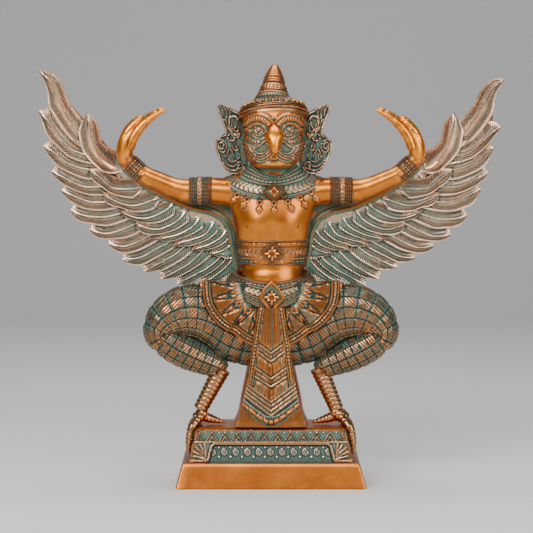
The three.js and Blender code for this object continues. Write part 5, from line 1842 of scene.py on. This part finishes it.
@dataclass
class Caster:
    """Pours the forms of a piece together into one closed mesh and ages its surface: hollows and shelter for
    patina and painted shade.

    Share and base scale and raise the forms, limit is the most triangles, and crease the angle of a sharp
    edge. Fine and broad are the hollows that count as full, detail is the spacing of points that shows them,
    and rays feel the shelter from start out to reach, nooks the most. Lengths are in metres.
    """

    materials: list[bpy.types.Material]
    share: float = 1.0
    base: float = 0.0
    limit: int = 196000
    fine: float = 0.00010
    broad: float = 0.00035
    detail: float = 0.0010
    rays: int = 12
    reach: float = 0.028
    nook: float = 0.0035
    start: float = 1.2e-4
    crease: float = 0.66

    def form(self, shell: Shell) -> bpy.types.Object:
        """One form as an object, in metres, with its faces turned outwards.

        Args:
            shell: The form.

        Returns:
            The object.
        """
        mesh = bpy.data.meshes.new("form")
        places = shell.points * (0.001 * self.share) + (0, 0, self.base)
        mesh.from_pydata(places.tolist(), [], shell.faces)
        solid = bmesh.new()
        solid.from_mesh(mesh)
        bmesh.ops.recalc_face_normals(solid, faces=solid.faces)
        solid.to_mesh(mesh)
        solid.free()
        keep(mesh, "marks", shell.marks)
        for material in self.materials:
            mesh.materials.append(material)
        mesh.polygons.foreach_set("material_index", np.full(len(mesh.polygons), int(shell.finish), "i"))
        return show("form", mesh)

    def pour(self, name: str, shells: list[Shell]) -> bpy.types.Object:
        """Joins forms in one closed piece.

        Args:
            name: Name of the piece.
            shells: Its forms.

        Returns:
            The piece.
        """
        forms = [self.form(shell) for shell in shells]
        others = bpy.data.collections.new("forms")
        for form in forms[1:]:
            others.objects.link(form)
        joiner = forms[0].modifiers.new("join", "BOOLEAN")
        joiner.operation, joiner.operand_type, joiner.solver = "UNION", "COLLECTION", "MANIFOLD"
        joiner.collection = others
        graph = bpy.context.evaluated_depsgraph_get()
        full = triangles(forms[0].evaluated_get(graph).data)
        if full > self.limit:
            thinner = forms[0].modifiers.new("thin", "DECIMATE")
            thinner.ratio = self.limit / full
            graph = bpy.context.evaluated_depsgraph_get()
        mesh = bpy.data.meshes.new_from_object(forms[0].evaluated_get(graph))
        mesh.validate()
        mesh.name = name
        piece = show(name, mesh)
        for form in forms:
            spent = form.data
            bpy.data.objects.remove(form)
            bpy.data.meshes.remove(spent)
        bpy.data.collections.remove(others)
        mesh.shade_smooth()
        mesh.set_sharp_from_angle(angle=self.crease)
        self.age(mesh)
        log.info("%s: %d forms, %d triangles, %d kept", name, len(shells), full, triangles(mesh))
        return piece

    def age(self, mesh: bpy.types.Mesh) -> None:
        """Keeps at each point how hollow it is, close to and more widely, and how sheltered, which the
        materials turn into patina, grime and painted shade.

        Args:
            mesh: Mesh of the piece.
        """
        count = len(mesh.vertices)
        places, normals = np.empty(count * 3), np.empty(count * 3)
        mesh.vertices.foreach_get("co", places)
        mesh.vertex_normals.foreach_get("vector", normals)
        places, normals = places.reshape(-1, 3), normals.reshape(-1, 3)
        edges = np.empty(len(mesh.edges) * 2, "i")
        mesh.edges.foreach_get("vertices", edges)
        start, end = edges.reshape(-1, 2).T
        ways = np.maximum(np.bincount(start, minlength=count) + np.bincount(end, minlength=count), 1)

        def blur(values: Array) -> Array:
            """Each point's mean over its neighbours."""
            total = np.bincount(start, values[end], count) + np.bincount(end, values[start], count)
            return 0.5 * values + 0.5 * total / ways

        length = np.linalg.norm(places[start] - places[end], axis=1)
        spacing = (np.bincount(start, length, count) + np.bincount(end, length, count)) / ways
        close = np.clip(2.2 - spacing / self.detail, 0, 1)
        smooth, hollows = places.copy(), []
        for rounds, scale in ((6, self.fine), (24, self.broad)):
            for _ in range(rounds):
                smooth = np.column_stack([blur(column) for column in smooth.T])
            sunk = ((smooth - places) * normals).sum(1) / scale
            hollows.append(np.tanh(sunk) * close)
        aims = self.aims()
        helper = np.where(np.abs(normals[:, 2:3]) < 0.9, (0, 0, 1.0), (1.0, 0, 0))
        first = np.cross(normals, helper)
        first /= np.linalg.norm(first, axis=1)[:, None] + 1e-12
        second = np.cross(normals, first)
        tree = BVHTree.FromPolygons(places.tolist(), [tuple(face.vertices) for face in mesh.polygons])
        origins = places + normals * self.start
        near, far = np.zeros(count), np.zeros(count)
        for aim in aims:
            headings = first * aim[0] + second * aim[1] + normals * aim[2]
            hits = [tree.ray_cast(origin, heading, self.reach)[3] for origin, heading in
                    zip(map(Vector, origins.tolist()), map(Vector, headings.tolist()))]
            away = np.array([self.reach if hit is None else hit for hit in hits])
            near += np.clip(1 - away / self.nook, 0, 1) / len(aims)
            far += (1 - away / self.reach) / len(aims)
        # Ray-cast ambient occlusion: the materials paint it as shade as well as patina and grime.
        shelter = blur(blur(0.6 * near + 0.4 * far))
        keep(mesh, "age", np.column_stack([*hollows, shelter]))

    def aims(self) -> Array:
        """Even directions over the half round in front of a surface, most of them near its normal.

        Returns:
            One direction a row.
        """
        share = (np.arange(self.rays) + 0.5) / self.rays
        lift = np.sqrt(1 - share * 0.96)
        turn = np.arange(self.rays) * GOLDEN_TURN
        flat = np.sqrt(1 - lift**2)
        return np.column_stack([flat * np.cos(turn), flat * np.sin(turn), lift])


@dataclass
class Studio:
    """A pale sheet, soft lights and the camera at the photograph's height and distance."""

    eye: tuple[float, float, float] = (-0.0032, -1.6, 0.280)
    aim: tuple[float, float, float] = (-0.0032, 0.0, 0.156)
    view: float = 0.2383

    def sheet(self) -> bpy.types.Object:
        """A sheet that lies flat under the piece and curves up far behind it.

        Returns:
            The sheet.
        """
        bend = np.linspace(0, np.pi / 2, 16)
        curve = ((1.2 + 0.9 * np.sin(angle), 0.9 - 0.9 * np.cos(angle)) for angle in bend)
        profile = [(-3.0, 0.0), (1.2, 0.0), *curve, (2.1, 3.2)]
        across = np.linspace(-3, 3, 13)
        points = [(x, y, z) for y, z in profile for x in across]
        n = len(across)
        faces = [(r * n + c, r * n + c + 1, (r + 1) * n + c + 1, (r + 1) * n + c)
                 for r in range(len(profile) - 1) for c in range(n - 1)]
        mesh = bpy.data.meshes.new("sheet")
        mesh.from_pydata(points, [], faces)
        mesh.shade_smooth()
        mesh.materials.append(PalePaper().make())
        return show("sheet", mesh)

    def point(self, thing: bpy.types.Object, place: Sequence[float], aim: Sequence[float]) -> None:
        """Sets a lamp or camera at a place and turns it towards another."""
        thing.location = place
        thing.rotation_euler = (Vector(aim) - Vector(place)).to_track_quat("-Z", "Y").to_euler()

    def lamp(self, name: str, place: Sequence[float], size: tuple[float, float], power: float) -> None:
        """A soft lamp that faces the piece.

        Args:
            name: Its name.
            place: Where it hangs.
            size: Width and height.
            power: Its watts.
        """
        light = bpy.data.lights.new(name, "AREA")
        light.shape = "RECTANGLE"
        light.size, light.size_y = size
        light.energy = power
        self.point(show(name, light), place, (0, 0, 0.16))

    def build(self) -> None:
        """Sheet, lamps, room light and camera."""
        self.sheet()
        self.lamp("key", (-0.75, -1.15, 0.95), (0.7, 0.7), 18)
        self.lamp("fill", (0.95, -1.0, 0.55), (0.8, 0.8), 10)
        self.lamp("top", (0.0, 0.1, 1.3), (0.9, 0.6), 9)
        self.lamp("front", (0.0, -1.45, 1.2), (0.9, 0.35), 10)
        world = bpy.data.worlds.new("room")
        world.use_nodes = True
        backdrop = world.node_tree.nodes["Background"]
        backdrop.inputs["Color"].default_value = (0.80, 0.82, 0.86, 1)
        backdrop.inputs["Strength"].default_value = 0.22
        bpy.context.scene.world = world
        lens = bpy.data.cameras.new("camera")
        lens.angle = self.view
        lens.clip_start, lens.clip_end = 0.05, 20
        camera = show("camera", lens)
        self.point(camera, self.eye, self.aim)
        bpy.context.scene.camera = camera
        log.info("studio: sheet, four lamps and a camera")


def settle(piece: bpy.types.Object, node: str) -> None:
    """Parents a piece to the root and hides the node that it replaces.

    Args:
        piece: The piece.
        node: Node that it replaces.
    """
    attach(piece, "root")
    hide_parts(node)


def main() -> None:
    """Builds the studio and both castings."""
    logging.basicConfig(level=logging.INFO, format="%(name)s: %(message)s")
    Studio().build()
    materials = [FINISHES[finish].make() for finish in Finish]
    low, high = (Vector(corner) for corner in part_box("plinth"))
    plinth = Plinth()
    stand = Caster(materials, share=(high.z - low.z) * 1000 / plinth.top, base=low.z)
    settle(stand.pour("stepped_plinth", plinth.build()), "plinth")
    edge = plinth.half(plinth.pedestal[0], plinth.top)
    figure_low, figure_high = (Vector(corner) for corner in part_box("garuda_figure"))
    share = (figure_high.z - figure_low.z) * 1000 / FIGURE_HEIGHT
    figure = Caster(materials, share=share, base=high.z + SEAT_GAP)
    forms = []
    for part in (Torso(), Head(), Crown(), Loincloth()):
        forms += part.build()
        log.info("%s: %d forms so far", type(part).__name__, len(forms))
    for side in (-1, 1):
        for part in (Wing(side), Ear(side), Arm(side), HipCloth(side), Leg(side, edge)):
            forms += part.build()
            log.info("%s %+d: %d forms so far", type(part).__name__, side, len(forms))
    settle(figure.pour("winged_guardian", forms), "garuda_figure")


if __name__ == "__main__":
    main()
